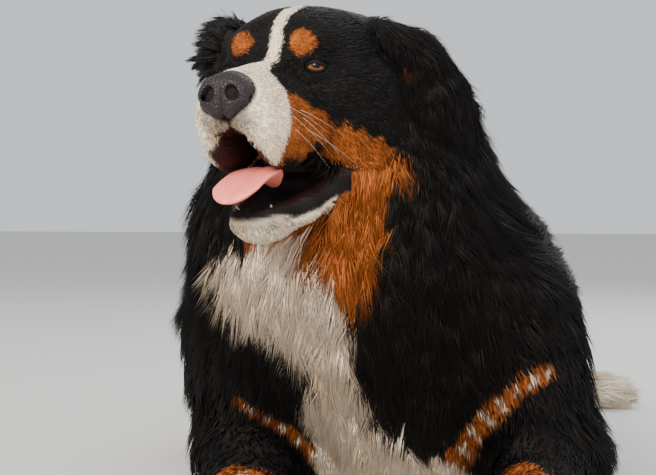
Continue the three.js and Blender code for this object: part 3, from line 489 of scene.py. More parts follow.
# a surface where a field is zero, as four-cornered faces on an uneven grid
def surfaceNets(field, xs, ys, zs, stride=5):
    axes = (xs, ys, zs)
    coarse = [np.unique(np.r_[np.arange(0, len(a), stride), len(a) - 1]) for a in axes]
    grid = np.meshgrid(*[a[c] for a, c in zip(axes, coarse)], indexing="ij")
    rough = field(np.column_stack([g.ravel() for g in grid])).reshape(grid[0].shape)
    cells = [np.clip(np.searchsorted(c, np.arange(len(a)), side="right") - 1, 0, len(c) - 2)
             for a, c in zip(axes, coarse)]
    spans = [np.diff(a[c]) for a, c in zip(axes, coarse)]
    reach = np.sqrt(spans[0][:, None, None] ** 2 + spans[1][None, :, None] ** 2
                    + spans[2][None, None, :] ** 2)
    least = np.abs(rough[:-1, :-1, :-1])
    for i, j, k in np.ndindex(2, 2, 2):
        corner = np.abs(rough[i:i + reach.shape[0], j:j + reach.shape[1], k:k + reach.shape[2]])
        least = np.minimum(least, corner)
    near = (least < reach * 1.25)[np.ix_(*cells)]
    values = np.where(rough < 0, -1e3, 1e3)[np.ix_(*cells)].astype(float)
    picked = np.argwhere(near)
    points = np.column_stack([a[picked[:, i]] for i, a in enumerate(axes)])
    for start in range(0, len(points), 300000):
        part = slice(start, start + 300000)
        values[tuple(picked[part].T)] = field(points[part])
    inside = values < 0
    shape = np.array(values.shape) - 1
    count = np.zeros(shape, int)
    for i, j, k in np.ndindex(2, 2, 2):
        count += inside[i:i + shape[0], j:j + shape[1], k:k + shape[2]]
    ids = np.argwhere((count > 0) & (count < 8))
    index = np.full(shape, -1)
    index[tuple(ids.T)] = np.arange(len(ids))
    total, hits = np.zeros((len(ids), 3)), np.zeros(len(ids))
    for a in np.ndindex(2, 2, 2):
        for axis in range(3):
            if a[axis]:
                continue
            b = tuple(1 if i == axis else v for i, v in enumerate(a))
            va, vb = values[tuple((ids + a).T)], values[tuple((ids + b).T)]
            hit = (va < 0) != (vb < 0)
            t = np.where(hit, va / np.where(hit, va - vb, 1), 0)[:, None]
            pa = np.column_stack([axes[i][ids[:, i] + a[i]] for i in range(3)])
            pb = np.column_stack([axes[i][ids[:, i] + b[i]] for i in range(3)])
            total += np.where(hit[:, None], pa + t * (pb - pa), 0)
            hits += hit
    faces = []
    for axis in range(3):
        u, v = (axis + 1) % 3, (axis + 2) % 3
        low = inside.take(range(inside.shape[axis] - 1), axis=axis)
        high = inside.take(range(1, inside.shape[axis]), axis=axis)
        e = np.argwhere(low != high)
        e = e[(e[:, u] > 0) & (e[:, v] > 0) & (e[:, u] < inside.shape[u] - 1)
              & (e[:, v] < inside.shape[v] - 1)]
        quad = []
        for du, dv in ((-1, -1), (0, -1), (0, 0), (-1, 0)):
            q = e.copy()
            q[:, u] += du
            q[:, v] += dv
            quad.append(index[tuple(q.T)])
        quad = np.column_stack(quad)
        turned = ~low[tuple(e.T)]
        quad[turned] = quad[turned][:, ::-1]
        faces.append(quad)
    return total / hits[:, None], np.vstack(faces)


# mesh from points in millimetres and faces that all have as many corners
def makeMesh(name, points, faces, smoothShade=True):
    points, faces = np.asarray(points, float) * metre, np.asarray(faces)
    mesh = bpy.data.meshes.new(name)
    mesh.vertices.add(len(points))
    mesh.vertices.foreach_set("co", points.ravel())
    sides = faces.shape[1]
    mesh.loops.add(faces.size)
    mesh.loops.foreach_set("vertex_index", faces.ravel().astype(np.int32))
    mesh.polygons.add(len(faces))
    mesh.polygons.foreach_set("loop_start", np.arange(0, faces.size, sides, dtype=np.int32))
    mesh.polygons.foreach_set("use_smooth", np.full(len(faces), smoothShade))
    mesh.update(calc_edges=True)
    mesh.validate()
    piece = bpy.data.objects.new(name, mesh)
    bpy.context.scene.collection.objects.link(piece)
    return piece


# one colour for each point, kept as an attribute
def paint(piece, name, colours):
    layer = piece.data.attributes.new(name, "FLOAT_COLOR", "POINT")
    layer.data.foreach_set("color", np.asarray(colours, np.float32).ravel())


# body, replaced nodes, slot and material of a finished piece
def show(piece, nodes, material):
    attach(piece, "root")
    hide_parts(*nodes)
    piece.data.materials.append(material)


# triangles of a tube of points in rings, which two last points close at its ends
def tubeFaces(rings, sides):
    j = np.arange(sides)
    ahead = (j + 1) % sides
    start = np.arange(rings - 1)[:, None] * sides
    a, b = start + j, start + ahead
    quads = np.stack([a, b, b + sides, a + sides], -1).reshape(-1, 4)
    count, top = rings * sides, (rings - 1) * sides
    first = np.column_stack([np.full(sides, count), ahead, j])
    last = np.column_stack([np.full(sides, count + 1), top + j, top + ahead])
    return np.vstack([quads[:, [0, 1, 2]], quads[:, [0, 2, 3]], first, last])


# a tube along a path with a radius at each place, closed at both ends; flat squeezes it
def tube(path, radii, sides=8, flat=1.0, up=(0, 0, 1)):
    path, radii = np.asarray(path, float), np.asarray(radii, float)
    ahead = unit(np.gradient(path, axis=0))
    across = unit(np.cross(ahead, np.asarray(up, float)))
    over = np.cross(across, ahead)
    angle = np.arange(sides) / sides * 2 * np.pi
    ring = (np.cos(angle)[None, :, None] * across[:, None, :]
            + np.sin(angle)[None, :, None] * over[:, None, :] * flat)
    points = (path[:, None, :] + ring * radii[:, None, None]).reshape(-1, 3)
    return np.vstack([points, path[:1], path[-1:]]), tubeFaces(len(path), sides)


# several lists of points and faces as one
def together(parts):
    points, faces, count = [], [], 0
    for p, f in parts:
        points.append(p)
        faces.append(f + count)
        count += len(p)
    return np.vstack(points), np.vstack(faces)


# smooth curve through some points, at evenly spaced shares of its knots
def curve(knots, count):
    knots = np.asarray(knots, float)
    t = np.linspace(0, len(knots) - 1, count)
    i = np.clip(t.astype(int), 0, len(knots) - 2)
    f = (t - i)[:, None]
    padded = np.vstack([2 * knots[0] - knots[1], knots, 2 * knots[-1] - knots[-2]])
    a, b, c, d = padded[i], padded[i + 1], padded[i + 2], padded[i + 3]
    return 0.5 * (2 * b + (c - a) * f + (2 * a - 5 * b + 4 * c - d) * f ** 2
                  + (3 * b - a - 3 * c + d) * f ** 3)


# smooth noise: waves in several fixed directions added up, about -1 to 1
def ripple(p, size, seed, waves=9):
    pick = np.random.default_rng(seed)
    way = unit(pick.normal(size=(waves, 3))) / size * pick.uniform(0.6, 1.7, (waves, 1))
    return np.sin(p @ way.T * 2 * np.pi + pick.uniform(0, 6.28, waves)).sum(1) / math.sqrt(waves)


# height of a line through some (x, height) points, at x
def lineAt(x, knots):
    knots = sorted(knots)
    return np.interp(x, [k[0] for k in knots], [k[1] for k in knots])


# mask: 1 where a value is below zero, with a soft edge of some millimetres
def below(value, edge=2.0):
    return 1 - smooth(value / edge + 0.5)


# outlines of the markings as pairs: width of the blaze over y, and heights or sides of the others
blaze = {"middle": 8, "width": [(-160, 60), (-118, 44), (-110, 20), (-96, 8), (-80, 12),
                                (-45, 13), (-10, 7), (12, 0)]}
cheekTop = [(-130, -18), (-97, -26), (-62, -38), (-36, -51), (-2, -65), (30, -70), (60, -76)]
bibLeft = [(40, -40), (62, -46), (115, -53), (135, -43), (154, -44), (177, -61), (191, -79),
           (194, -101), (206, -112), (216, -134), (228, -148), (241, -155), (252, -152),
           (258, -140), (266, -112)]
bibRight = [(40, 104), (56, 84), (75, 58), (88, 28), (103, 15), (127, 9), (155, -1), (184, 0),
            (210, -4), (221, -17), (236, -22), (246, -32), (256, -41), (267, -52)]
throatLeft = [(254, -60), (268, -108)]
throatTan = [(204, -4), (210, 1), (221, 12), (235, 26), (256, 32), (273, 35), (290, 36),
             (350, 44)]
# streaks of tan down the front of the fore legs, as x and z, with half widths; the white dabs on
# them are painted highlights
streaks = [([(176, 147), (159, 139), (142, 126), (115, 103), (92, 69), (80, 48)], 11),
           ([(-126, 115), (-109, 109), (-82, 98), (-61, 84), (-42, 58)], 6)]


# distance outside the streaks, seen from the front, and the distance along them
def fromStreaks(p):
    best, along = np.full(len(p), 200.0), np.zeros(len(p))
    flat = p * (1, 0, 1)
    for path, half in streaks:
        for (ax, az), (bx, bz) in zip(path[:-1], path[1:]):
            away = limb(flat, (ax, 0, az), (bx, 0, bz), half, half)
            along = np.where(away < best, p[:, 0] * np.sign(ax) * 0.75 + p[:, 2] * 0.66, along)
            best = np.minimum(best, away)
    return np.where(p[:, 1] < -225, best, 200.0), along


# how bare and black the skin is: lips, the rim of the lower jaw, round the nose
def bareness(h, near):
    bare = np.zeros(len(h))
    n = h[near]
    j = toJaw(n)
    rim = mix(-91, -80, ramp(-j[:, 1], 112, 138))
    inJaw = (lowerJaw(n) < 7) & (j[:, 1] < -22)
    b = ramp(j[:, 2], rim - 2, rim + 2) * inJaw
    corner = 7 * ramp(n[:, 1], -52, -34) * ramp(np.abs(n[:, 0]), 38, 44)
    b = np.maximum(b, (1 - ramp(mouthRoom(n) + corner, 2.5, 5.5)) * (1 - outerLip(n)))
    b = np.maximum(b, 1 - ramp(jawTrough(n), 1.5, 4))
    b = np.maximum(b, 1 - ramp(nosePad(n), 0.5, 3.5))
    for sign in (1, -1):
        across, up, out = fromEye(n, sign)
        away = np.hypot(across / eye["bare"][0], up / eye["bare"][1]) + 9 * (out < 0)
        b = np.maximum(b, 1 - ramp(away, 1.0, 1.12))
    bare[near] = b
    return bare


# further values of the markings: brow spots as x, z and half sizes, then where the colours end
# along y or z, and how strong the mixed ones are
marks = {"browSpots": ((34, 31, 10.5, 13), (-31, 33, 12, 11)), "earFold": (102, 12, 10),
         "snoutEnd": -114, "chinEnd": -61, "bibTop": 264, "throatTop": 350, "throatFoot": 198,
         "elbow": (376, 322), "sock": 424, "shankTop": 66, "hindSock": 262, "tailTip": 112,
         "glintWave": 0.33, "glintWhite": 0.8, "foldTan": 0.24, "cream": 0.14, "thin": 0.72}


# White and tan of the head, 0 to 1, each inside a line or an ellipse with a rippled edge. White:
# a blaze that widens into the muzzle, and the chin. Tan: brow spots, cheeks, ear fold.
def headMarks(h, near, names, edge):
    x, y, z = h.T
    onHead = (names == "head") | (names == "ear") | (names == "jaw")
    fold = np.linalg.norm((h - marks["earFold"]) / (8, 8, 4), axis=1) - 1 + edge * 0.08
    tan = marks["foldTan"] * below(fold, 0.6) * near
    cheek = below(z - lineAt(y, cheekTop) - edge, 4) * (y < 80) * (names == "head")
    tan = np.maximum(tan, cheek)
    for cx, cz, width, height in marks["browSpots"]:
        spot = np.hypot((x - cx) / width, (z - cz) / height) - 1 + edge * 0.05
        tan = np.maximum(tan, below(spot, 0.2) * near * (y < -60))
    width = lineAt(y, blaze["width"])
    stripe = below(np.abs(x - blaze["middle"]) - width / 2 - edge * 0.35, 1.6)
    stripe *= (z > mix(-12, 8, ramp(y, -110, -70))) & (names == "head") & (width > 0.5)
    snout = below(y - marks["snoutEnd"] + np.clip(-z - 20, 0, 60) * 0.12 + edge * 0.6, 4)
    white = np.maximum(stripe, snout) * near * onHead
    inJaw = toJaw(h)
    onJaw = names == "jaw"
    chin = below(-98 - mix(8, 14, ramp(-inJaw[:, 1], 60, 120)) - inJaw[:, 2] - edge, 5)
    chin *= below(inJaw[:, 1] - marks["chinEnd"] - edge * 2, 8)
    sparseChin = ramp(inJaw[:, 2] + edge, -95, -87) * ramp(-inJaw[:, 1], 66, 96)
    white = np.maximum(white, chin * onJaw * (1 - 0.6 * sparseChin))
    return white, np.where(onJaw, (1 - chin) * ramp(-inJaw[:, 2] + edge, 96, 101), tan)


# The body's markings laid over the head's by the larger value, with the bib for its cream.
# White: bib, socks, tail tip, and dabs of painted highlight on the streaks. Tan: throat, legs
# below elbow and stifle, streaks.
def bodyMarks(p, names, coarse, white, tan):
    x, y, z = p.T
    front = ramp(-y, 215, 245)
    left, right = lineAt(z, bibLeft), lineAt(z, bibRight)
    bib = below(left - x - coarse * 1.3, 8) * below(x - right - coarse, 8) * front
    bib *= below(z - marks["bibTop"] - coarse * 0.6, 5)
    bib *= ~np.isin(names, ["head", "ear", "jaw", "forearm", "forePaw"])
    throat = below(x - lineAt(z, throatTan) - coarse, 7) * front * below(z - marks["throatTop"])
    throat *= below(lineAt(z, throatLeft) - x - coarse, 7) * below(marks["throatFoot"] - z, 12)
    tan = np.maximum(tan, throat * (names == "neck"))
    white = np.maximum(white, bib)

    leg = np.isin(names, ["forearm", "forePaw"])
    rightElbow, leftElbow = marks["elbow"]
    start = np.where(x > 0, leftElbow + np.clip(x - 160, 0, 60), rightElbow)
    tan = np.where(leg, np.maximum(tan, below(y + start + coarse * 0.8, 8)), tan)
    white = np.maximum(white, below(y + marks["sock"] + coarse, 10) * leg)
    hindLeg = np.isin(names, ["shank", "hindFoot"])
    shankTan = below(z - marks["shankTop"] - coarse, 8)
    tan = np.where(hindLeg, np.maximum(tan, shankTan), tan)
    inSock = (names == "hindPaw") | ((names == "hindFoot") & (y < marks["hindSock"]))
    white = np.where(inSock, 1.0, white)

    away, along = fromStreaks(p)
    taper = 5 * ramp(z, 105, 160)
    band = below(away + taper + coarse * 0.25, 3) * np.isin(names, ["trunk", "upperArm", "forearm"])
    # white dabs along the streaks: painted highlights on the tan fur
    paintedGlints = ramp(np.sin(along * marks["glintWave"]) + 0.5 * ripple(p, 14, 6), 0.3, 0.9)
    paintedGlints *= below(away + taper + 3, 3)
    tan = np.maximum(tan, band)
    white = np.maximum(white, band * paintedGlints * marks["glintWhite"])
    tip = (names == "tailPlume") * below(marks["tailTip"] - x - coarse, 12)
    return np.maximum(white, tip), tan, bib


# The head's markings darkened by s-curves round the eyes, at the lips and in the split of the
# upper lip, and where the hair of the muzzle is thin, which is given as a share too.
def darkened(h, near, names, edge, white, tan):
    x, y, z = h.T
    side = np.abs(x)
    thin = np.where(near, 1 - ramp(nosePad(h) + edge, 5, 32), 0) * (z < -34)
    thin *= 1 - ramp(side + edge, 20, 34)
    for sign in (1, -1):
        across, up, _ = fromEye(h, sign)
        shadow = ramp(np.hypot(across / eye["shadow"][0], up / eye["shadow"][1]), 0.9, 1.15)
        shadow = np.maximum(shadow, (np.abs(y + 70) > 26) | ~near)
        white, tan = white * shadow, tan * shadow
    lipShade = (names == "head") * (y > -112) * (y < -20) * (1 - ramp(z, -84, -72))
    tan = tan * (1 - lipShade * (flews(h) < 9))
    split = (1 - ramp(side, 0.8, 2.0)) * (y < -140) * (z < -30) * (z > -66)
    return white * (1 - marks["thin"] * thin) * (1 - split), tan, thin


# white and tan of the coat at each point, 0 to 1, and the part of the body it grows on
def markings(p):
    rows, h, near = partValues(p)
    names = np.array(partNames)[rows.argmin(0)]
    edge = ripple(p, 26, 1) * 2.2 + ripple(p, 9, 2) * 1.4
    coarse = ripple(p, 60, 3) * 7 + ripple(p, 18, 4) * 3
    white, tan = headMarks(h, near, names, edge)
    white, tan, bib = bodyMarks(p, names, coarse, white, tan)
    white, tan, thin = darkened(h, near, names, edge, white, tan)
    furred = 1 - bareness(h, near)
    tan = np.maximum(tan * (1 - white) * (1 - thin), bib)
    white = white * (1 - marks["cream"] * bib)
    return white * furred, tan * furred, names, h, near


# Direction in which the coat lies at each point, before it is laid on the surface. It runs
# back from the nose, down from the ears and the neck, back along the trunk, down the chest
# and along each limb to the toes.
def lieOf(p, names, signs, h):
    way = np.tile([0.0, 1.0, -0.3], (len(p), 1))
    x, y, z = p.T
    s = signs.astype(float)

    def put(name, *parts):
        pick = np.isin(names, name if isinstance(name, list) else [name])
        way[pick] = np.column_stack([np.broadcast_to(v, len(p)) for v in parts])[pick]

    drop = -mix(0.1, 0.8, ramp(z, 300, 90))
    down = ramp(-y, 190, 275)
    put("trunk", x * 0.003 * down, mix(1.0, -0.2, down), mix(drop, -1.0, down))
    front = ramp(-y - (z - 235) * 0.3, 215, 300)
    put("neck", mix(0.1, x * 0.002, front), mix(0.42, -0.12, front), -0.95)
    put("upperArm", s * 0.12, 0.42, -0.85)
    reach = ramp(-y, 150, 235)
    put("forearm", s * mix(0.35, 0.1, reach), mix(0.2, -1.0, reach), mix(-0.6, -0.35, reach))
    put("forePaw", 0.0, -1.0, -0.2)
    put("thigh", s * 0.1, 0.85, -0.5)
    put("shank", s * 0.2, 0.8, -0.5)
    put("hindFoot", s * 0.35, -0.9, -0.3)
    put("hindPaw", s * 0.3, -0.9, -0.2)
    put("tailRoot", -0.1, 1.0, -0.45)
    bend = ramp(x, -10, 80)
    put("tailPlume", mix(0.6, 1.0, bend), mix(0.8, 0.07, bend), -0.12)

    hx, hy, hz = h.T
    side = np.sign(hx)
    cheek = ramp(hy, -70, 20) * ramp(-hz, -25, 40)
    top = ramp(hz, 20, 60)
    hw = np.column_stack([side * mix(0.12, 0.15, cheek), mix(1.0, 0.45, cheek),
                          mix(mix(-0.12, -0.95, cheek), 0.1, top)])
    lip = ramp(-hz, 45, 62) * ramp(-hy, 20, 45)
    hw = mix(hw, np.column_stack([side * 0.1, 0.62 + 0 * hx, -0.75 + 0 * hx]), lip[:, None])
    pick = names == "head"
    way[pick] = headWay(hw[pick])
    pick = names == "jaw"
    hw = np.column_stack([side * 0.12, 0.85 + 0 * hx, -0.5 + 0 * hx])
    way[pick] = headWay(hw[pick])
    rear = ramp(hy - np.where(side > 0, 78, 42), -20, 18)
    flare = (side < 0) * ramp(hz, -60, 30)
    hw = np.column_stack([side * (0.1 + 0.3 * rear + 1.1 * flare),
                          mix(0.45, 0.12, ramp(-hz, -50, 0)) + 0.35 * rear,
                          -1 + 0.3 * rear + 0.95 * flare])
    pick = names == "ear"
    way[pick] = headWay(hw[pick])
    return unit(way)


coatLook = {
    "length": {"trunk": 58, "neck": 66, "upperArm": 56, "forearm": 26, "forePaw": 12,
               "thigh": 64, "shank": 30, "hindFoot": 20, "hindPaw": 20, "tailRoot": 80,
               "tailPlume": 92, "head": 24, "jaw": 12, "ear": 34},
    "rise": {"trunk": 14, "neck": 15, "upperArm": 12, "forearm": 6, "forePaw": 3.4,
             "thigh": 13, "shank": 7, "hindFoot": 6, "hindPaw": 7, "tailRoot": 16,
             "tailPlume": 17, "head": 6, "jaw": 2, "ear": 4.5},
    "width": {"trunk": 2.1, "neck": 1.7, "upperArm": 1.9, "forearm": 1.5, "forePaw": 1.3,
              "thigh": 2.2, "shank": 1.8, "hindFoot": 1.5, "hindPaw": 1.4, "tailRoot": 2.4,
              "tailPlume": 2.4, "head": 1.4, "jaw": 1.1, "ear": 1.5},
    "face": {"length": (5.5, 24), "rise": (0.8, 5.5), "width": (1.0, 1.8)},  # nose to crown
    "wave": 2.6, "clump": 0.5, "clumpSize": 15, "spread": 0.16,
    "steps": 2, "rings": (0.85, 0.8), "tipLift": 0.45, "lowest": 0.8, "patch": 0.003,
}

# how many tufts each piece of the coat has
coatPieces = {
    "face_coat": 19500, "crown_coat": 15000, "ear_coat": 11000, "ruff_coat": 19000,
    "bib_coat": 15000, "nape_coat": 16000, "chest_coat": 15500, "back_coat": 11500,
    "rump_coat": 12000, "foreleg_coat": 9500, "hind_leg_coat": 5500, "tail_coat": 5500,
}


# the piece of the coat that grows at each point
def pieceOf(p, names, h):
    piece = np.full(len(p), "back_coat", dtype="<U16")
    piece[(names == "trunk") & (p[:, 1] < -90)] = "chest_coat"
    piece[(names == "trunk") & (p[:, 1] > 190)] = "rump_coat"
    piece[names == "neck"] = "nape_coat"
    piece[(names == "neck") & (p[:, 1] + (p[:, 2] - 235) * 0.25 < -232)] = "ruff_coat"
    piece[(names == "trunk") & (p[:, 1] < -245)] = "bib_coat"
    piece[np.isin(names, ["upperArm", "forearm", "forePaw"])] = "foreleg_coat"
    piece[np.isin(names, ["thigh"])] = "rump_coat"
    piece[np.isin(names, ["shank", "hindFoot", "hindPaw"])] = "hind_leg_coat"
    piece[np.isin(names, ["tailRoot", "tailPlume"])] = "tail_coat"
    piece[names == "head"] = "crown_coat"
    piece[(names == "head") & (h[:, 1] < -22)] = "face_coat"
    piece[names == "jaw"] = "face_coat"
    piece[names == "ear"] = "ear_coat"
    return piece


# grid lines: coarse steps on both sides of a fine stretch
def bands(low, high, fineLow, fineHigh, coarse, fine):
    before = np.linspace(low, fineLow, max(2, round((fineLow - low) / coarse)), endpoint=False)
    middle = np.linspace(fineLow, fineHigh, round((fineHigh - fineLow) / fine))
    after = np.linspace(fineHigh, high, max(2, round((high - fineHigh) / coarse)) + 1)[1:]
    return np.r_[before, middle, after]


skinGrid = {"coarse": 10.0, "fine": 3.0}
points, quads = surfaceNets(
    skinField,
    bands(-330, 290, -178, 82, skinGrid["coarse"], skinGrid["fine"]),
    bands(-550, 830, -478, -190, skinGrid["coarse"], skinGrid["fine"]),
    bands(-14, 530, 272, 510, skinGrid["coarse"], skinGrid["fine"]),
)
free = points[:, 2] > 2
points[free] = settle(skinField, points[free], steps=2)
skin = makeMesh("skin", points, quads)
print("skin", len(points), len(quads))

# the skin's own unwrap, which the coat's patches use too
bpy.context.view_layer.objects.active = skin
skin.select_set(True)
bpy.ops.object.mode_set(mode="EDIT")
bpy.ops.mesh.select_all(action="SELECT")
bpy.ops.uv.smart_project(angle_limit=math.radians(66), island_margin=0.001)
bpy.ops.object.mode_set(mode="OBJECT")
skin.data.uv_layers[0].name = "OFBake"
unwrap = np.empty(len(skin.data.loops) * 2, np.float32)
skin.data.uv_layers["OFBake"].data.foreach_get("uv", unwrap)
unwrap = unwrap.reshape(-1, 4, 2)
corner = np.empty(len(skin.data.loops), np.int32)
skin.data.loops.foreach_get("vertex_index", corner)
quads = corner.reshape(-1, 4)
print("unwrap done")

white, tan, names, h, near = markings(points)
# mask of the mouth's lining: wet, so less rough, and painted near black in the skin's material,
# partly the real black of gums and lips and partly painted shade in the mouth's hollow and on the
# palate
wetAndShaded = np.zeros(len(points))
wetAndShaded[near] = (1 - ramp(mouthRoom(h[near]), 1.5, 4.0)) * (1 - outerLip(h[near]))
wetAndShaded *= (h[:, 1] < 10) & (h[:, 2] < -40)
shade = 0.5 + 0.25 * ripple(points, 40, 8)
shade *= ramp(np.linalg.norm(mirrored(h) - np.array(eye["centre"], float), axis=1), 15, 24)
paint(skin, "mark", np.column_stack([tan, white, shade, wetAndShaded]))


# a new material with its nodes, links and main shader
def newMaterial(name):
    material = bpy.data.materials.new(name)
    material.use_nodes = True
    nodes = material.node_tree.nodes
    return material, nodes, material.node_tree.links, nodes["Principled BSDF"]


# values set on a node's sockets, with _ for a blank in a name
def setInputs(node, **values):
    for name, value in values.items():
        node.inputs[name.replace("_", " ")].default_value = value


# Coat colour: tan and white laid over black by the mark attribute, each mixed between a
# darker, shaded copy and a lighter, lit copy of the colour by the tuft's shade.
# Low is each colour as in shade and High is each colour as lit: painted shade and painted light,
# mixed by the mark's blue channel
coatTones = {
    "Black Low": (0.0022, 0.002, 0.0022, 1), "Black High": (0.016, 0.0135, 0.012, 1),
    "Tan Low": (0.13, 0.03, 0.005, 1), "Tan High": (0.46, 0.125, 0.022, 1),
    "White Low": (0.80, 0.59, 0.36, 1), "White High": (0.97, 0.89, 0.75, 1),
}


# node group: black, tan and white mixed by the shade, then laid over one another
def coatColourGroup():
    group = bpy.data.node_groups.new("Coat Colour", "ShaderNodeTree")
    face = group.interface
    face.new_socket("Mark", in_out="INPUT", socket_type="NodeSocketColor")
    for name, tone in coatTones.items():
        face.new_socket(name, in_out="INPUT", socket_type="NodeSocketColor").default_value = tone
    face.new_socket("Color", in_out="OUTPUT", socket_type="NodeSocketColor")
    nodes, links = group.nodes, group.links
    start, end = nodes.new("NodeGroupInput"), nodes.new("NodeGroupOutput")
    split = nodes.new("ShaderNodeSeparateColor")
    links.new(start.outputs["Mark"], split.inputs[0])
    tones = []
    for name in ("Black", "Tan", "White"):
        blendNode = nodes.new("ShaderNodeMix")
        blendNode.data_type = "RGBA"
        links.new(split.outputs["Blue"], blendNode.inputs["Factor"])
        links.new(start.outputs[name + " Low"], blendNode.inputs["A"])
        links.new(start.outputs[name + " High"], blendNode.inputs["B"])
        tones.append(blendNode.outputs["Result"])
    result = tones[0]
    for channel, tone in (("Red", tones[1]), ("Green", tones[2])):
        layer = nodes.new("ShaderNodeMix")
        layer.data_type = "RGBA"
        links.new(split.outputs[channel], layer.inputs["Factor"])
        links.new(result, layer.inputs["A"])
        links.new(tone, layer.inputs["B"])
        result = layer.outputs["Result"]
    links.new(result, end.inputs["Color"])
    return group


coatColour = coatColourGroup()


# the coat's colour from the mark attribute
def colourNode(nodes, links):
    mark = nodes.new("ShaderNodeAttribute")
    mark.attribute_name = "mark"
    group = nodes.new("ShaderNodeGroup")
    group.node_tree = coatColour
    for name, tone in coatTones.items():
        group.inputs[name].default_value = tone
    links.new(mark.outputs["Color"], group.inputs["Mark"])
    return mark, group


furMaterial, nodes, links, shader = newMaterial("coat")
links.new(colourNode(nodes, links)[1].outputs["Color"], shader.inputs["Base Color"])
setInputs(shader, Roughness=0.62, Specular_IOR_Level=0.13)

skinMaterial, nodes, links, shader = newMaterial("skin")
mark, colour = colourNode(nodes, links)
# the mouth's lining near black: the black of gums and lips, and painted shade on the palate and in
# the mouth's hollow
gumAndShade = nodes.new("ShaderNodeMix")
gumAndShade.data_type = "RGBA"
gumAndShade.inputs["B"].default_value = (0.013, 0.0045, 0.005, 1)
links.new(mark.outputs["Alpha"], gumAndShade.inputs["Factor"])
links.new(colour.outputs["Color"], gumAndShade.inputs["A"])
links.new(gumAndShade.outputs["Result"], shader.inputs["Base Color"])
place = nodes.new("ShaderNodeTexCoord")
grain = nodes.new("ShaderNodeTexNoise")
setInputs(grain, Scale=240.0, Detail=4.0)
links.new(place.outputs["Object"], grain.inputs["Vector"])
bump = nodes.new("ShaderNodeBump")
setInputs(bump, Strength=0.8, Distance=0.0022)
links.new(grain.outputs["Fac"], bump.inputs["Height"])
links.new(bump.outputs["Normal"], shader.inputs["Normal"])
dry = nodes.new("ShaderNodeMapRange")
dry.inputs["To Min"].default_value, dry.inputs["To Max"].default_value = 0.95, 0.45
links.new(mark.outputs["Alpha"], dry.inputs["Value"])
links.new(dry.outputs["Result"], shader.inputs["Roughness"])
setInputs(shader, Specular_IOR_Level=0.15)

flesh = ["head", "lower_jaw", "neck", "chest", "loin", "rump", "ear_left", "ear_right",
         "tail_root", "tail_plume"]
for part in ("upper_arm", "forearm", "fore_paw", "thigh", "shank", "hind_foot", "hind_paw"):
    flesh += [part + "_left", part + "_right"]
show(skin, flesh, skinMaterial)


# area of triangles: half the length of the cross product of two edges
def areaOf(a, b, c):
    return np.linalg.norm(np.cross(b - a, c - a), axis=1) / 2


tris = np.vstack([quads[:, [0, 1, 2]], quads[:, [0, 2, 3]]])
trisUv = np.vstack([unwrap[:, [0, 1, 2]], unwrap[:, [0, 2, 3]]])
trisAt = points[tris]
middles = trisAt.mean(1)
triArea = areaOf(*trisAt.transpose(1, 0, 2))
triPiece = pieceOf(middles, names[tris[:, 0]], h[tris[:, 0]])


# how thickly the coat grows: none in the mouth, on the nose, in the eyes or on the floor
def growth(p):
    q = toHead(p)
    dense = np.ones(len(p))
    near = np.linalg.norm(q - (0, -10, -20), axis=1) < 260
    dense[near] = 1 + ramp(-q[near, 1], -30, 90)
    dense *= (1 - ramp(bareness(q, near), 0.3, 0.8)) * ramp(p[:, 2], 3, 9)
    dense *= 1 + 3 * ramp(p[:, 0], 90, 150) * (p[:, 1] > 600)
    dense *= ramp(np.minimum(mouthRoom(q), jawTrough(q)), 0.5, 2.5)
    return dense


# the skin with mouth and eyes closed, from which the coat's height is measured
def skinLevel(p):
    return skinField(p, closed=True)


outside = np.concatenate([skinLevel(part) for part in np.array_split(middles, 4)]) > -2.5
triWeight = triArea * growth(middles) * outside
signs = np.array(partSides)


# Length, rise and width of tufts, then how much they flare and how many of them fly loose. Each
# part has its own values, and s-curves draw them to others at the face, ears, ruff and mouth.
def tuftLook(root, owner, side, h):
    kinds, which = np.unique(owner, return_inverse=True)
    onHead = owner == "head"
    back = ramp(h[:, 1], -90, 60)
    look = []
    for key, (nose, crown) in coatLook["face"].items():
        values = np.array([coatLook[key][kind] for kind in kinds], float)[which]
        look.append(np.where(onHead, mix(nose, crown, back), values))
    length, rise, width = look

    onEar, onNeck = owner == "ear", owner == "neck"
    fringe = onEar * ramp(h[:, 1] - np.where(side > 0, 78, 42), -20, 18)
    flared = onEar * (side < 0) * ramp(h[:, 2], -70, -10)
    ruffed = onNeck * ramp(-root[:, 0], 95, 130) * ramp(root[:, 2], 210, 260)
    length = length + 22 * fringe + 16 * flared + 8 * ruffed
    rise = rise + 6 * flared + 6 * ruffed
    collar = onNeck * (1 - ramp(upperHead(h), 12, 55)) * (root[:, 1] < -240)
    length, rise = mix(length, 34, collar), mix(rise, 7, collar)
    streaked = 1 - ramp(fromStreaks(root)[0], 18, 60)
    length = mix(length, np.minimum(length, 14), streaked)
    rise = mix(rise, np.minimum(rise, 8), streaked)
    atMouth = onHead * (1 - ramp(mouthRoom(h), 8, 16)) * (h[:, 1] < -12)
    length = mix(length, np.minimum(length, 5.5), atMouth)
    tailEnd = (owner == "tailPlume") * ramp(root[:, 0], 110, 200)
    loose = 0.35 * onEar + 0.4 * flared + 0.2 * ruffed + 0.4 * tailEnd
    return length * (1 - 0.35 * tailEnd), rise + 6 * tailEnd, width, flared, loose


# each tuft's leader is the one nearest to its root, so that the coat falls in locks
def leadersOf(root, leaders):
    nearest = [np.linalg.norm(part[:, None] - root[leaders], axis=2).argmin(1)
               for part in np.array_split(root, 24)]
    return leaders[np.concatenate(nearest)]


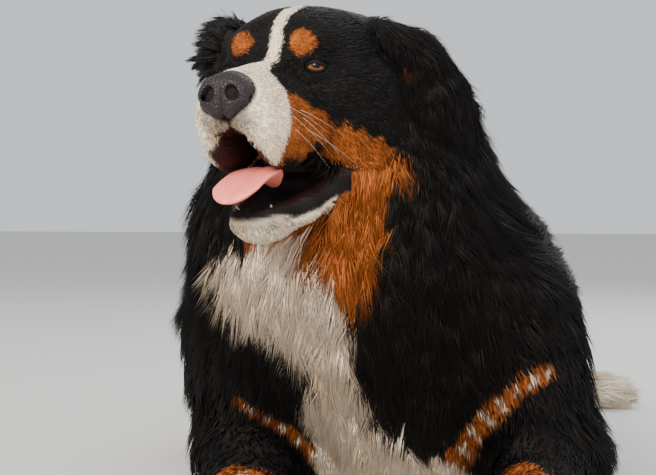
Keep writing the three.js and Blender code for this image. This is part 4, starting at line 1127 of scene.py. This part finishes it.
# faces of one tuft: closed, with rings of three corners along its spine and one at the tip
steps = coatLook["steps"]
perTuft = steps * 3 + 1
tuftFaces = [(0, 1, 2)]
for low in range(0, steps * 3 - 3, 3):
    for a, b in ((0, 1), (1, 2), (2, 0)):
        tuftFaces += [(low + a, low + 3 + a, low + 3 + b), (low + a, low + 3 + b, low + b)]
tuftFaces = np.array(tuftFaces + [(perTuft - 4 + a, perTuft - 1, perTuft - 4 + b)
                                  for a, b in ((0, 1), (1, 2), (2, 0))])
ringAt = np.minimum(np.arange(perTuft) // 3, steps) / steps
cornerAt = np.where(ringAt < 1, np.arange(perTuft) % 3 / 2, 0.5)
tuftPatch = np.column_stack([cornerAt, ringAt]) * coatLook["patch"] - coatLook["patch"] / 2


# corners of the tufts: half a width to each side of the spine, and one lifted off the skin
def tuftPoints(spine, normals, width):
    rings = []
    for i, share in enumerate(coatLook["rings"]):
        ahead = unit(spine[i + 1] - spine[i])
        across = unit(np.cross(ahead, normals[i]))
        lift = np.cross(across, ahead)
        half = (width * share / 2)[:, None]
        base = spine[i] - (lift * 0.6 if i == 0 else 0)
        rings.append(np.stack([base - across * half, base + across * half,
                               base + lift * half * 0.55], 1))
    return np.concatenate(rings + [spine[-1][:, None, :]], 1)


# places on the skin, and in its unwrap, for the roots of tufts: by chance, area and growth
def rootsOf(name, count):
    choice = np.flatnonzero(triPiece == name)
    tri = rng.choice(choice, count, p=triWeight[choice] / triWeight[choice].sum())
    r = rng.random((2, count))
    flip = r.sum(0) > 1
    r[:, flip] = 1 - r[:, flip]
    shares = np.column_stack([1 - r.sum(0), r[0], r[1]])
    return [np.einsum("ij,ijk->ik", shares, where[tri]) for where in (trisAt, trisUv)]


# Spines of the tufts, with the skin's normals. Each steps along the lie of the coat, turned by
# its own angle, while it rises from the skin; a loose one leaves the coat at its last step.
def growSpines(root, owner, side, length, rise, turnBy, loose):
    spine, normals = [root], []
    p = root
    for i in range(1, steps + 1):
        _, g = slopeOf(skinLevel, p)
        n = unit(g)
        way = lieOf(p, owner, side, toHead(p))
        way = unit(way - n * dots(way, n)[:, None])
        way = (way * np.cos(turnBy)[:, None]
               + np.cross(n, way) * np.sin(turnBy)[:, None])
        free = loose & (i == steps)
        way = unit(way + n * (coatLook["tipLift"] * free)[:, None])
        p = p + way * (length / steps)[:, None]
        value, g = slopeOf(skinLevel, p)
        level = rise * (i / steps) ** 0.8
        hold = np.where(free & (level < value), 0.15, 1.0)
        p = p + unit(g) * (np.clip(level - value, -8, 12) * hold)[:, None]
        p[:, 2] = np.maximum(p[:, 2], coatLook["lowest"])
        spine.append(p)
        normals.append(n)
    return np.array(spine), np.array(normals + [unit(g)])


# tufts drawn to their leaders towards the tip, less far from them, and swayed by a sine wave
def gather(spine, normals, leader, phase, flared, long):
    root = spine[0]
    company = 1 - ramp(np.linalg.norm(root - root[leader], axis=1), 16, 30)
    offset = (root - root[leader]) * 0.25
    for i in range(1, steps + 1):
        t = i / steps
        pull = np.minimum(coatLook["clump"] + 0.35 * flared, 0.85) * t * long * company
        spine[i] = mix(spine[i], spine[i][leader] + offset, pull[:, None])
        across = np.cross(normals[i], unit(spine[i] - spine[i - 1]))
        sway = np.sin(phase + t * 4.5) * coatLook["wave"] * long * t
        spine[i] += across * sway[:, None]
        spine[i][:, 2] = np.maximum(spine[i][:, 2], coatLook["lowest"])


# a piece of the coat: its tufts' roots, looks, leaders, spines, markings, mesh and shades
def growPiece(name, count):
    root, rootUv = rootsOf(name, count)
    rootWhite, rootTan, owner, h, _ = markings(root)
    side = np.where(owner == "ear", np.sign(h[:, 0]), np.sign(root[:, 0]))
    length, rise, width, flared, wild = tuftLook(root, owner, side, h)
    long = ramp(length, 16, 50)
    length = length * rng.uniform(0.78, 1.18, count)
    leaders = rng.choice(count, max(1, count // coatLook["clumpSize"]), replace=False)
    leader = leadersOf(root, leaders)
    turnBy = rng.normal(0, coatLook["spread"], count)[leader] * mix(0.5, 1.6, long)
    turnBy += rng.normal(0, coatLook["spread"] * 0.6, count)
    rise = rise * rng.uniform(0.75, 1.2, count)[leader] * rng.uniform(0.6, 1.1, count)
    loose = rng.random(count) < 0.10 * long + wild  # these leave the coat near their tips
    spine, normals = growSpines(root, owner, side, length, rise, turnBy, loose)

    # colour from near the middle of the tuft, but the neck's under the chin keep their root's
    white, tan, beside, *_ = markings(spine[1:].mean(0) * 0.8 + root * 0.2
                                      + rng.normal(0, 1.2, root.shape))
    strayed = (owner == "neck") & (beside == "jaw") & (white > tan)
    white, tan = np.where(strayed, rootWhite, white), np.where(strayed, rootTan, tan)

    phase = rng.uniform(0, 6.28, count)[leader] + rng.normal(0, 0.5, count)
    gather(spine, normals, leader, phase, flared, long)
    verts = tuftPoints(spine, normals, width * rng.uniform(0.8, 1.2, count))
    every = tuftFaces[None] + (np.arange(count) * perTuft)[:, None, None]
    piece = makeMesh(name, verts.reshape(-1, 3), every.reshape(-1, 3))
    uv = np.clip(rootUv[:, None, :] + tuftPatch[tuftFaces.ravel()][None], 0, 1)
    layer = piece.data.uv_layers.new(name="OFBake")
    layer.data.foreach_set("uv", uv.reshape(-1).astype(np.float32))

    # tone of each tuft: partly at random, and darker at the root and lighter at the tip, which is
    # painted shade down in the coat and painted light on the tips
    shade = 0.5 + 0.2 * ripple(root, 30, 8) + rng.normal(0, 0.22, count)
    shade = np.clip(shade[:, None] + ringAt[None, :] * 0.25 - 0.12, 0, 1)
    tan, white = (np.repeat(v[:, None], perTuft, 1) for v in (tan, white))
    paint(piece, "mark", np.stack([tan, white, shade, np.ones_like(shade)], -1).reshape(-1, 4))
    return piece


for name, count in coatPieces.items():
    piece = growPiece(name, count)
    show(piece, flesh, furMaterial)
    print(name, len(piece.data.polygons))


# a plain material; with a scale, small cells on its own coordinates give it a grain
def plain(name, colour, roughness, coatWeight=0.0, scale=0.0, strength=0.3, deep=0.0004,
          shine=0.5):
    material, nodes, links, shader = newMaterial(name)
    setInputs(shader, Base_Color=(*colour, 1), Roughness=roughness, Coat_Weight=coatWeight,
              Coat_Roughness=0.08, Specular_IOR_Level=shine)
    if scale:
        place = nodes.new("ShaderNodeTexCoord")
        grain = nodes.new("ShaderNodeTexVoronoi")
        setInputs(grain, Scale=scale)
        bump = nodes.new("ShaderNodeBump")
        setInputs(bump, Strength=strength, Distance=deep)
        links.new(place.outputs["Object"], grain.inputs["Vector"])
        links.new(grain.outputs["Distance"], bump.inputs["Height"])
        links.new(bump.outputs["Normal"], shader.inputs["Normal"])
    return material


eyeLook = {"iris": 0.76, "pupil": 0.40, "cornea": 0.03, "up": 17, "in": 7,
           "irisColour": (0.15, 0.036, 0.008, 1), "edgeColour": (0.23, 0.062, 0.014, 1),
           "ringColour": (0.008, 0.004, 0.003, 1), "whiteColour": (0.20, 0.13, 0.10, 1)}

eyeMaterial, nodes, links, shader = newMaterial("eye")
look = nodes.new("ShaderNodeAttribute")
look.attribute_name = "look"
distance = nodes.new("ShaderNodeVectorMath")
distance.operation = "LENGTH"
links.new(look.outputs["Vector"], distance.inputs[0])
rings = nodes.new("ShaderNodeValToRGB")
links.new(distance.outputs["Value"], rings.inputs["Fac"])
stops = rings.color_ramp.elements
stops[0].position, stops[0].color = eyeLook["pupil"], (0.002, 0.002, 0.002, 1)
stops[1].position, stops[1].color = eyeLook["iris"] + 0.05, eyeLook["whiteColour"]
for at, tone in ((eyeLook["pupil"] + 0.04, eyeLook["irisColour"]),
                 (eyeLook["iris"] - 0.08, eyeLook["edgeColour"]),
                 (eyeLook["iris"], eyeLook["ringColour"])):
    stops.new(at).color = tone
links.new(rings.outputs["Color"], shader.inputs["Base Color"])
setInputs(shader, Roughness=0.3, Specular_IOR_Level=0.1, Coat_Weight=0.28, Coat_Roughness=0.02)

# the lids' rim: half width and height of the opening, reach under the skin, and its profile
lidLook = {"radius": 12.4, "width": 8.8, "height": 3.3, "reach": 6.6, "slant": 0.10,
           "profile": ((0.0, -0.5), (0.08, 0.4), (0.22, 0.7), (0.5, 0.2), (0.8, -0.2),
                       (1.0, -0.5))}


# frame of one eye in the head's: its centre, and the ways right, up and along the gaze
def eyeFrame(sign):
    gaze = gazeWay * (sign, 1, 1)
    right = unit(np.cross(gaze, (0, 0, 1.0)))
    return np.array(eye["centre"], float) * (sign, 1, 1), right, np.cross(right, gaze), gaze


# Eyeball: a sphere with the cornea raised by an s-curve, turned up and inwards from the gaze.
# The last list is each point's place across the iris.
def eyeballMesh(sign):
    centre, right, up, gaze = eyeFrame(sign)
    lift, turnIn = math.radians(eyeLook["up"]), math.radians(eyeLook["in"]) * sign
    ahead = unit(gaze + up * math.tan(lift) - right * math.tan(turnIn))
    aheadRight = unit(np.cross(ahead, (0, 0, 1.0)))
    axes = np.array([aheadRight, np.cross(aheadRight, ahead), ahead])
    around, over = np.meshgrid(np.linspace(0, 2 * np.pi, 48, endpoint=False),
                               np.linspace(0, np.pi, 33)[1:-1])
    a, b, c = np.sin(over) * np.cos(around), np.sin(over) * np.sin(around), np.cos(over)
    bulge = 1 + eyeLook["cornea"] * smooth((0.62 - np.hypot(a, b)) / 0.4) * (c > 0)
    local = np.vstack([np.stack([a, b, c], -1).reshape(-1, 3), [[0, 0, 1.0], [0, 0, -1.0]]])
    size = np.r_[bulge.ravel(), 1 + eyeLook["cornea"], 1] * eye["radius"]
    across = np.where(local[:, 2:] > 0, local * (1, 1, 0), unit(local * (1, 1, 1e-6)))
    inHead = centre + (local @ axes) * size[:, None]
    return fromHead(inHead), tubeFaces(*a.shape)[:, ::-1], across


# lids: almond rings laid on a sphere round the eyeball, wider and lower from the rim outwards
def lidMesh(sign):
    centre, right, up, gaze = eyeFrame(sign)
    turn = np.linspace(0, 2 * np.pi, 64, endpoint=False)
    almondX = np.cos(turn)
    almondY = np.sin(turn) * (1 - 0.35 * np.abs(np.cos(turn)) ** 2)
    ringsOut = []
    for share, rise in lidLook["profile"]:
        x = almondX * (lidLook["width"] + share * lidLook["reach"])
        y = almondY * (lidLook["height"] + share * lidLook["reach"] * 1.1)
        y = y - np.where(y > 0, 0.6, -0.2) + x * lidLook["slant"] * sign
        r = lidLook["radius"] + rise
        flat = np.hypot(x, y)
        angle = np.minimum(flat / r, 1.5)
        wide = r * np.sin(angle) / np.maximum(flat, 1e-6)
        ringsOut.append(centre + (x * wide)[:, None] * right + (y * wide)[:, None] * up
                        + (r * np.cos(angle))[:, None] * gaze)
    j = np.arange(len(turn))
    n = np.arange(len(ringsOut) - 1)[:, None] * len(turn) + j
    m = n - j + (j + 1) % len(turn)
    faces = np.stack([n, n + len(turn), m + len(turn), m], -1).reshape(-1, 4)
    return fromHead(np.array(ringsOut).reshape(-1, 3)), faces


for sign, name in ((1, "eye_left"), (-1, "eye_right")):
    ballPoints, ballFaces, across = eyeballMesh(sign)
    eyeball = makeMesh(name + "_ball", ballPoints, ballFaces)
    layer = eyeball.data.attributes.new("look", "FLOAT_VECTOR", "POINT")
    layer.data.foreach_set("vector", across.astype(np.float32).ravel())
    show(eyeball, [name], eyeMaterial)
lidMaterial = plain("lid", (0.0035, 0.003, 0.003), 0.7, scale=700, strength=0.5, shine=0.15)
lids = makeMesh("lids", *together([lidMesh(sign) for sign in (1, -1)]))
show(lids, flesh, lidMaterial)
print("eyes done")


# nose leather: the nose's ellipsoids, less nostrils and their slits, with fine ripples and a
# groove down the middle, which is a bell curve across x
def noseField(p):
    h = toHead(p)
    m = mirrored(h)
    d = blend(noseBody(h), ball(m, (6, -160, -40), (8, 7, 8)), 6)
    pit = ball(m, (11.5, -170, -26), (6.0, 10, 6.6))
    slit = limb(m, (14, -169, -29), (25, -156, -31), 3.2, 1.6)
    d = carve(d, blend(pit, slit, 4), 2)
    d = d + 0.35 * ripple(h, 5.0, 21) * ramp(nosePad(h), -3, 0)
    return d + 1.6 * np.exp(-(h[:, 0] / 1.4) ** 2) * ramp(-h[:, 2], 16, 26)


noseLook = {"colour": (0.014, 0.009, 0.010), "roughness": 0.46, "cells": 520, "step": 1.25}

middle = fromHead([[0, -154, -32]])[0]
span = np.arange(-36, 37, noseLook["step"])
nosePoints, noseQuads = surfaceNets(noseField, middle[0] + span, middle[1] + span,
                                    middle[2] + span)
nose = makeMesh("nose", settle(noseField, nosePoints, steps=1), noseQuads)
show(nose, ["nose_leather"],
     plain("nose leather", noseLook["colour"], noseLook["roughness"], 0.0, noseLook["cells"],
           1.0, 0.0008, 0.3))
print("nose", len(noseQuads))


tongueLook = {"path": [(1, -62, -96), (2, -92, -91), (0, -120, -101), (-5, -147, -122)],
              "width": (9, 24), "thickness": (8, 4.5), "colour": (0.90, 0.21, 0.17)}


# tongue: a tube that widens and thins along its path by s-curves, hollowed by a groove
def tongueMesh(count, around):
    v = np.linspace(0, 1, count)
    t = smooth(v) * 0.4 + v * 0.6
    path = curve(tongueLook["path"], 400)
    at = path[(t * 399).astype(int)]
    ahead = unit(np.gradient(path, axis=0))[(t * 399).astype(int)]
    up = -np.cross([1.0, 0, 0], ahead)
    end = np.minimum(1, np.sqrt(np.sin(np.pi * np.clip(v, 0.004, 0.996)) * 1.6))
    angle = np.arange(around) / around * 2 * np.pi
    wide = mix(*tongueLook["width"], smooth(t * 1.9)) * end
    across = wide[:, None] * np.cos(angle)
    half = mix(*tongueLook["thickness"], smooth(t * 1.15)) * np.minimum(1, end * 1.3)
    groove = 1.6 * np.exp(-(across / 3.0) ** 2) * np.clip(np.sin(angle), 0, 1)
    rise = half[:, None] * np.sin(angle) + across ** 2 / 160 - groove
    points = at[:, None, :] + unit(up)[:, None, :] * rise[..., None]
    points[..., 0] += across
    return np.vstack([points.reshape(-1, 3), at[:1], at[-1:]]), tubeFaces(count, around)


tonguePoints, tongueFaces = tongueMesh(60, 40)
tonguePiece = makeMesh("tongue_skin", fromHead(tonguePoints), tongueFaces)
show(tonguePiece, ["tongue"],
     plain("tongue", tongueLook["colour"], 0.45, 0.1, 650, 0.5, 0.0005))

# roots, tips and radii of the teeth of one side, and the small ones in front
teethAt = {
    "upper": [((19, -133, -44), (20, -136, -64), 5), ((27, -108, -44), (28, -109, -62), 4.5),
              ((31, -88, -44), (33, -88, -66), 6)],
    "lower": [((15, -127, -94), (18, -132, -71), 4.2), ((24, -112, -96), (25, -113, -80), 3.4),
              ((28, -95, -98), (29, -97, -76), 4.0), ((31, -73, -98), (31, -73, -76), 4.4)],
}


# tooth: a tube from root to tip whose radii shrink to a point
def toothAt(root, tip, radius, place, sign=1):
    path = curve([np.array(root, float), (np.array(root) * 0.45 + np.array(tip) * 0.55)
                  - (0, 1.0, 0), np.array(tip, float)], 9) * (sign, 1, 1)
    radii = radius * np.array([0.85, 0.95, 0.98, 0.95, 0.86, 0.72, 0.54, 0.34, 0.12])
    points, faces = tube(path, radii, 10, 0.9, up=(0, 1, 0))
    return fromHead(place(points)), faces


teeth = [toothAt(*tooth, lambda q: q, sign) for tooth in teethAt["upper"] for sign in (1, -1)]
teeth += [toothAt(*tooth, fromJaw, sign) for tooth in teethAt["lower"] for sign in (1, -1)]
for i in range(6):
    x = (i - 2.5) * 4.6
    back = x * x * 0.03
    teeth.append(toothAt((x, -136 + back, -92), (x, -139 + back, -78), 3, fromJaw))
teethPiece = makeMesh("teeth", *together(teeth))
# teeth a dark ivory: the tooth colour is darkened as painted shade in the mouth
show(teethPiece, ["head", "lower_jaw"], plain("tooth", (0.27, 0.23, 0.17), 0.35, 0.1))


clawLook = {"radius": 4.4, "knots": ((0, -4, 5), (0, -14, 5), (0, -21, 1), (0, -25, -5))}

claws = []
for side, sign in (("left", 1), ("right", -1)):
    for centre, wrist, heading in ((0, foreJoints[side][3], pawHeading["fore" + side]),
                                   (rumpShift, hindJoints[4], pawHeading["hind" + side])):
        for end in toeEnds():
            path = curve(end + np.array(clawLook["knots"], float), 10)
            path = backFrom(outOfPaw(path, wrist, heading), side, centre)
            radii = clawLook["radius"] * np.linspace(1, 0.12, 10) ** 0.7
            claws.append(tube(path, radii, 10, 0.8))
clawPiece = makeMesh("claws", *together(claws))
show(clawPiece, ["fore_paw_left", "fore_paw_right", "hind_paw_left", "hind_paw_right"],
     plain("claw", (0.10, 0.075, 0.06), 0.35, 0.2))

whiskerLook = {"rows": 3, "inRow": 2, "length": (30, 58), "radius": 0.14}

whiskers = []
for sign in (1, -1):
    for row in range(whiskerLook["rows"]):
        for i in range(whiskerLook["inRow"]):
            root = np.array([30.0 * sign, -118 + i * 18 + row * 4, -36 - row * 9])
            root = toHead(settle(skinLevel, fromHead([root]), 0.0, 4))[0]
            length = rng.uniform(*whiskerLook["length"])
            way = np.array([0.6 * sign, 0.62 + 0.1 * i, -0.3 - 0.12 * row])
            way = unit(way + rng.normal(0, 0.14, 3))
            t = np.linspace(0, 1, 7)[:, None]
            path = root + way * length * t + np.array([0, 8, -12.0]) * t ** 2
            whiskers.append(tube(fromHead(path), whiskerLook["radius"] * (1 - t[:, 0] * 0.8), 4))
whiskerPiece = makeMesh("whiskers", *together(whiskers))
show(whiskerPiece, ["head"], plain("whisker", (0.6, 0.56, 0.5), 0.35))
print("details done")


floorLook = {"half": 9000, "front": -4000, "back": 14000, "colour": (0.62, 0.61, 0.59)}
half, front, back = floorLook["half"], floorLook["front"], floorLook["back"]
floor = makeMesh("floor", [(-half, front, 0), (half, front, 0), (half, back, 0),
                           (-half, back, 0)], [(0, 1, 2, 3)])
floor.data.materials.append(plain("floor", floorLook["colour"], 0.8))

world = bpy.data.worlds.new("studio")
bpy.context.scene.world = world
world.use_nodes = True
setInputs(world.node_tree.nodes["Background"], Color=(0.93, 0.96, 1.0, 1), Strength=0.85)

lamps = {
    "key": {"at": (-0.9, -3.0, 2.2), "size": 1.5, "power": 200, "colour": (1, 0.95, 0.88)},
    "fill": {"at": (2.6, -1.8, 1.8), "size": 2.2, "power": 60, "colour": (0.93, 0.96, 1)},
    "rim": {"at": (0.9, 2.6, 2.4), "size": 1.8, "power": 60, "colour": (1, 1, 1)},
}
for name, lamp in lamps.items():
    light = bpy.data.lights.new(name, "AREA")
    light.size, light.energy, light.color = lamp["size"], lamp["power"], lamp["colour"]
    holder = bpy.data.objects.new(name, light)
    holder.location = lamp["at"]
    holder.rotation_euler = (Vector((0, -0.1, 0.25)) - Vector(lamp["at"])).to_track_quat(
        "-Z", "Y").to_euler()
    bpy.context.scene.collection.objects.link(holder)

view = {"at": (0.307, -1.893, 0.313), "turn": 12, "lens": 93.3, "shift": -0.0572}
lens = bpy.data.cameras.new("camera")
lens.sensor_width, lens.lens, lens.shift_y = 36, view["lens"], view["shift"]
lens.clip_end = 100
camera = bpy.data.objects.new("camera", lens)
camera.location = view["at"]
camera.rotation_euler = (math.pi / 2, 0, math.radians(view["turn"]))
bpy.context.scene.collection.objects.link(camera)
bpy.context.scene.camera = camera

print("finished")
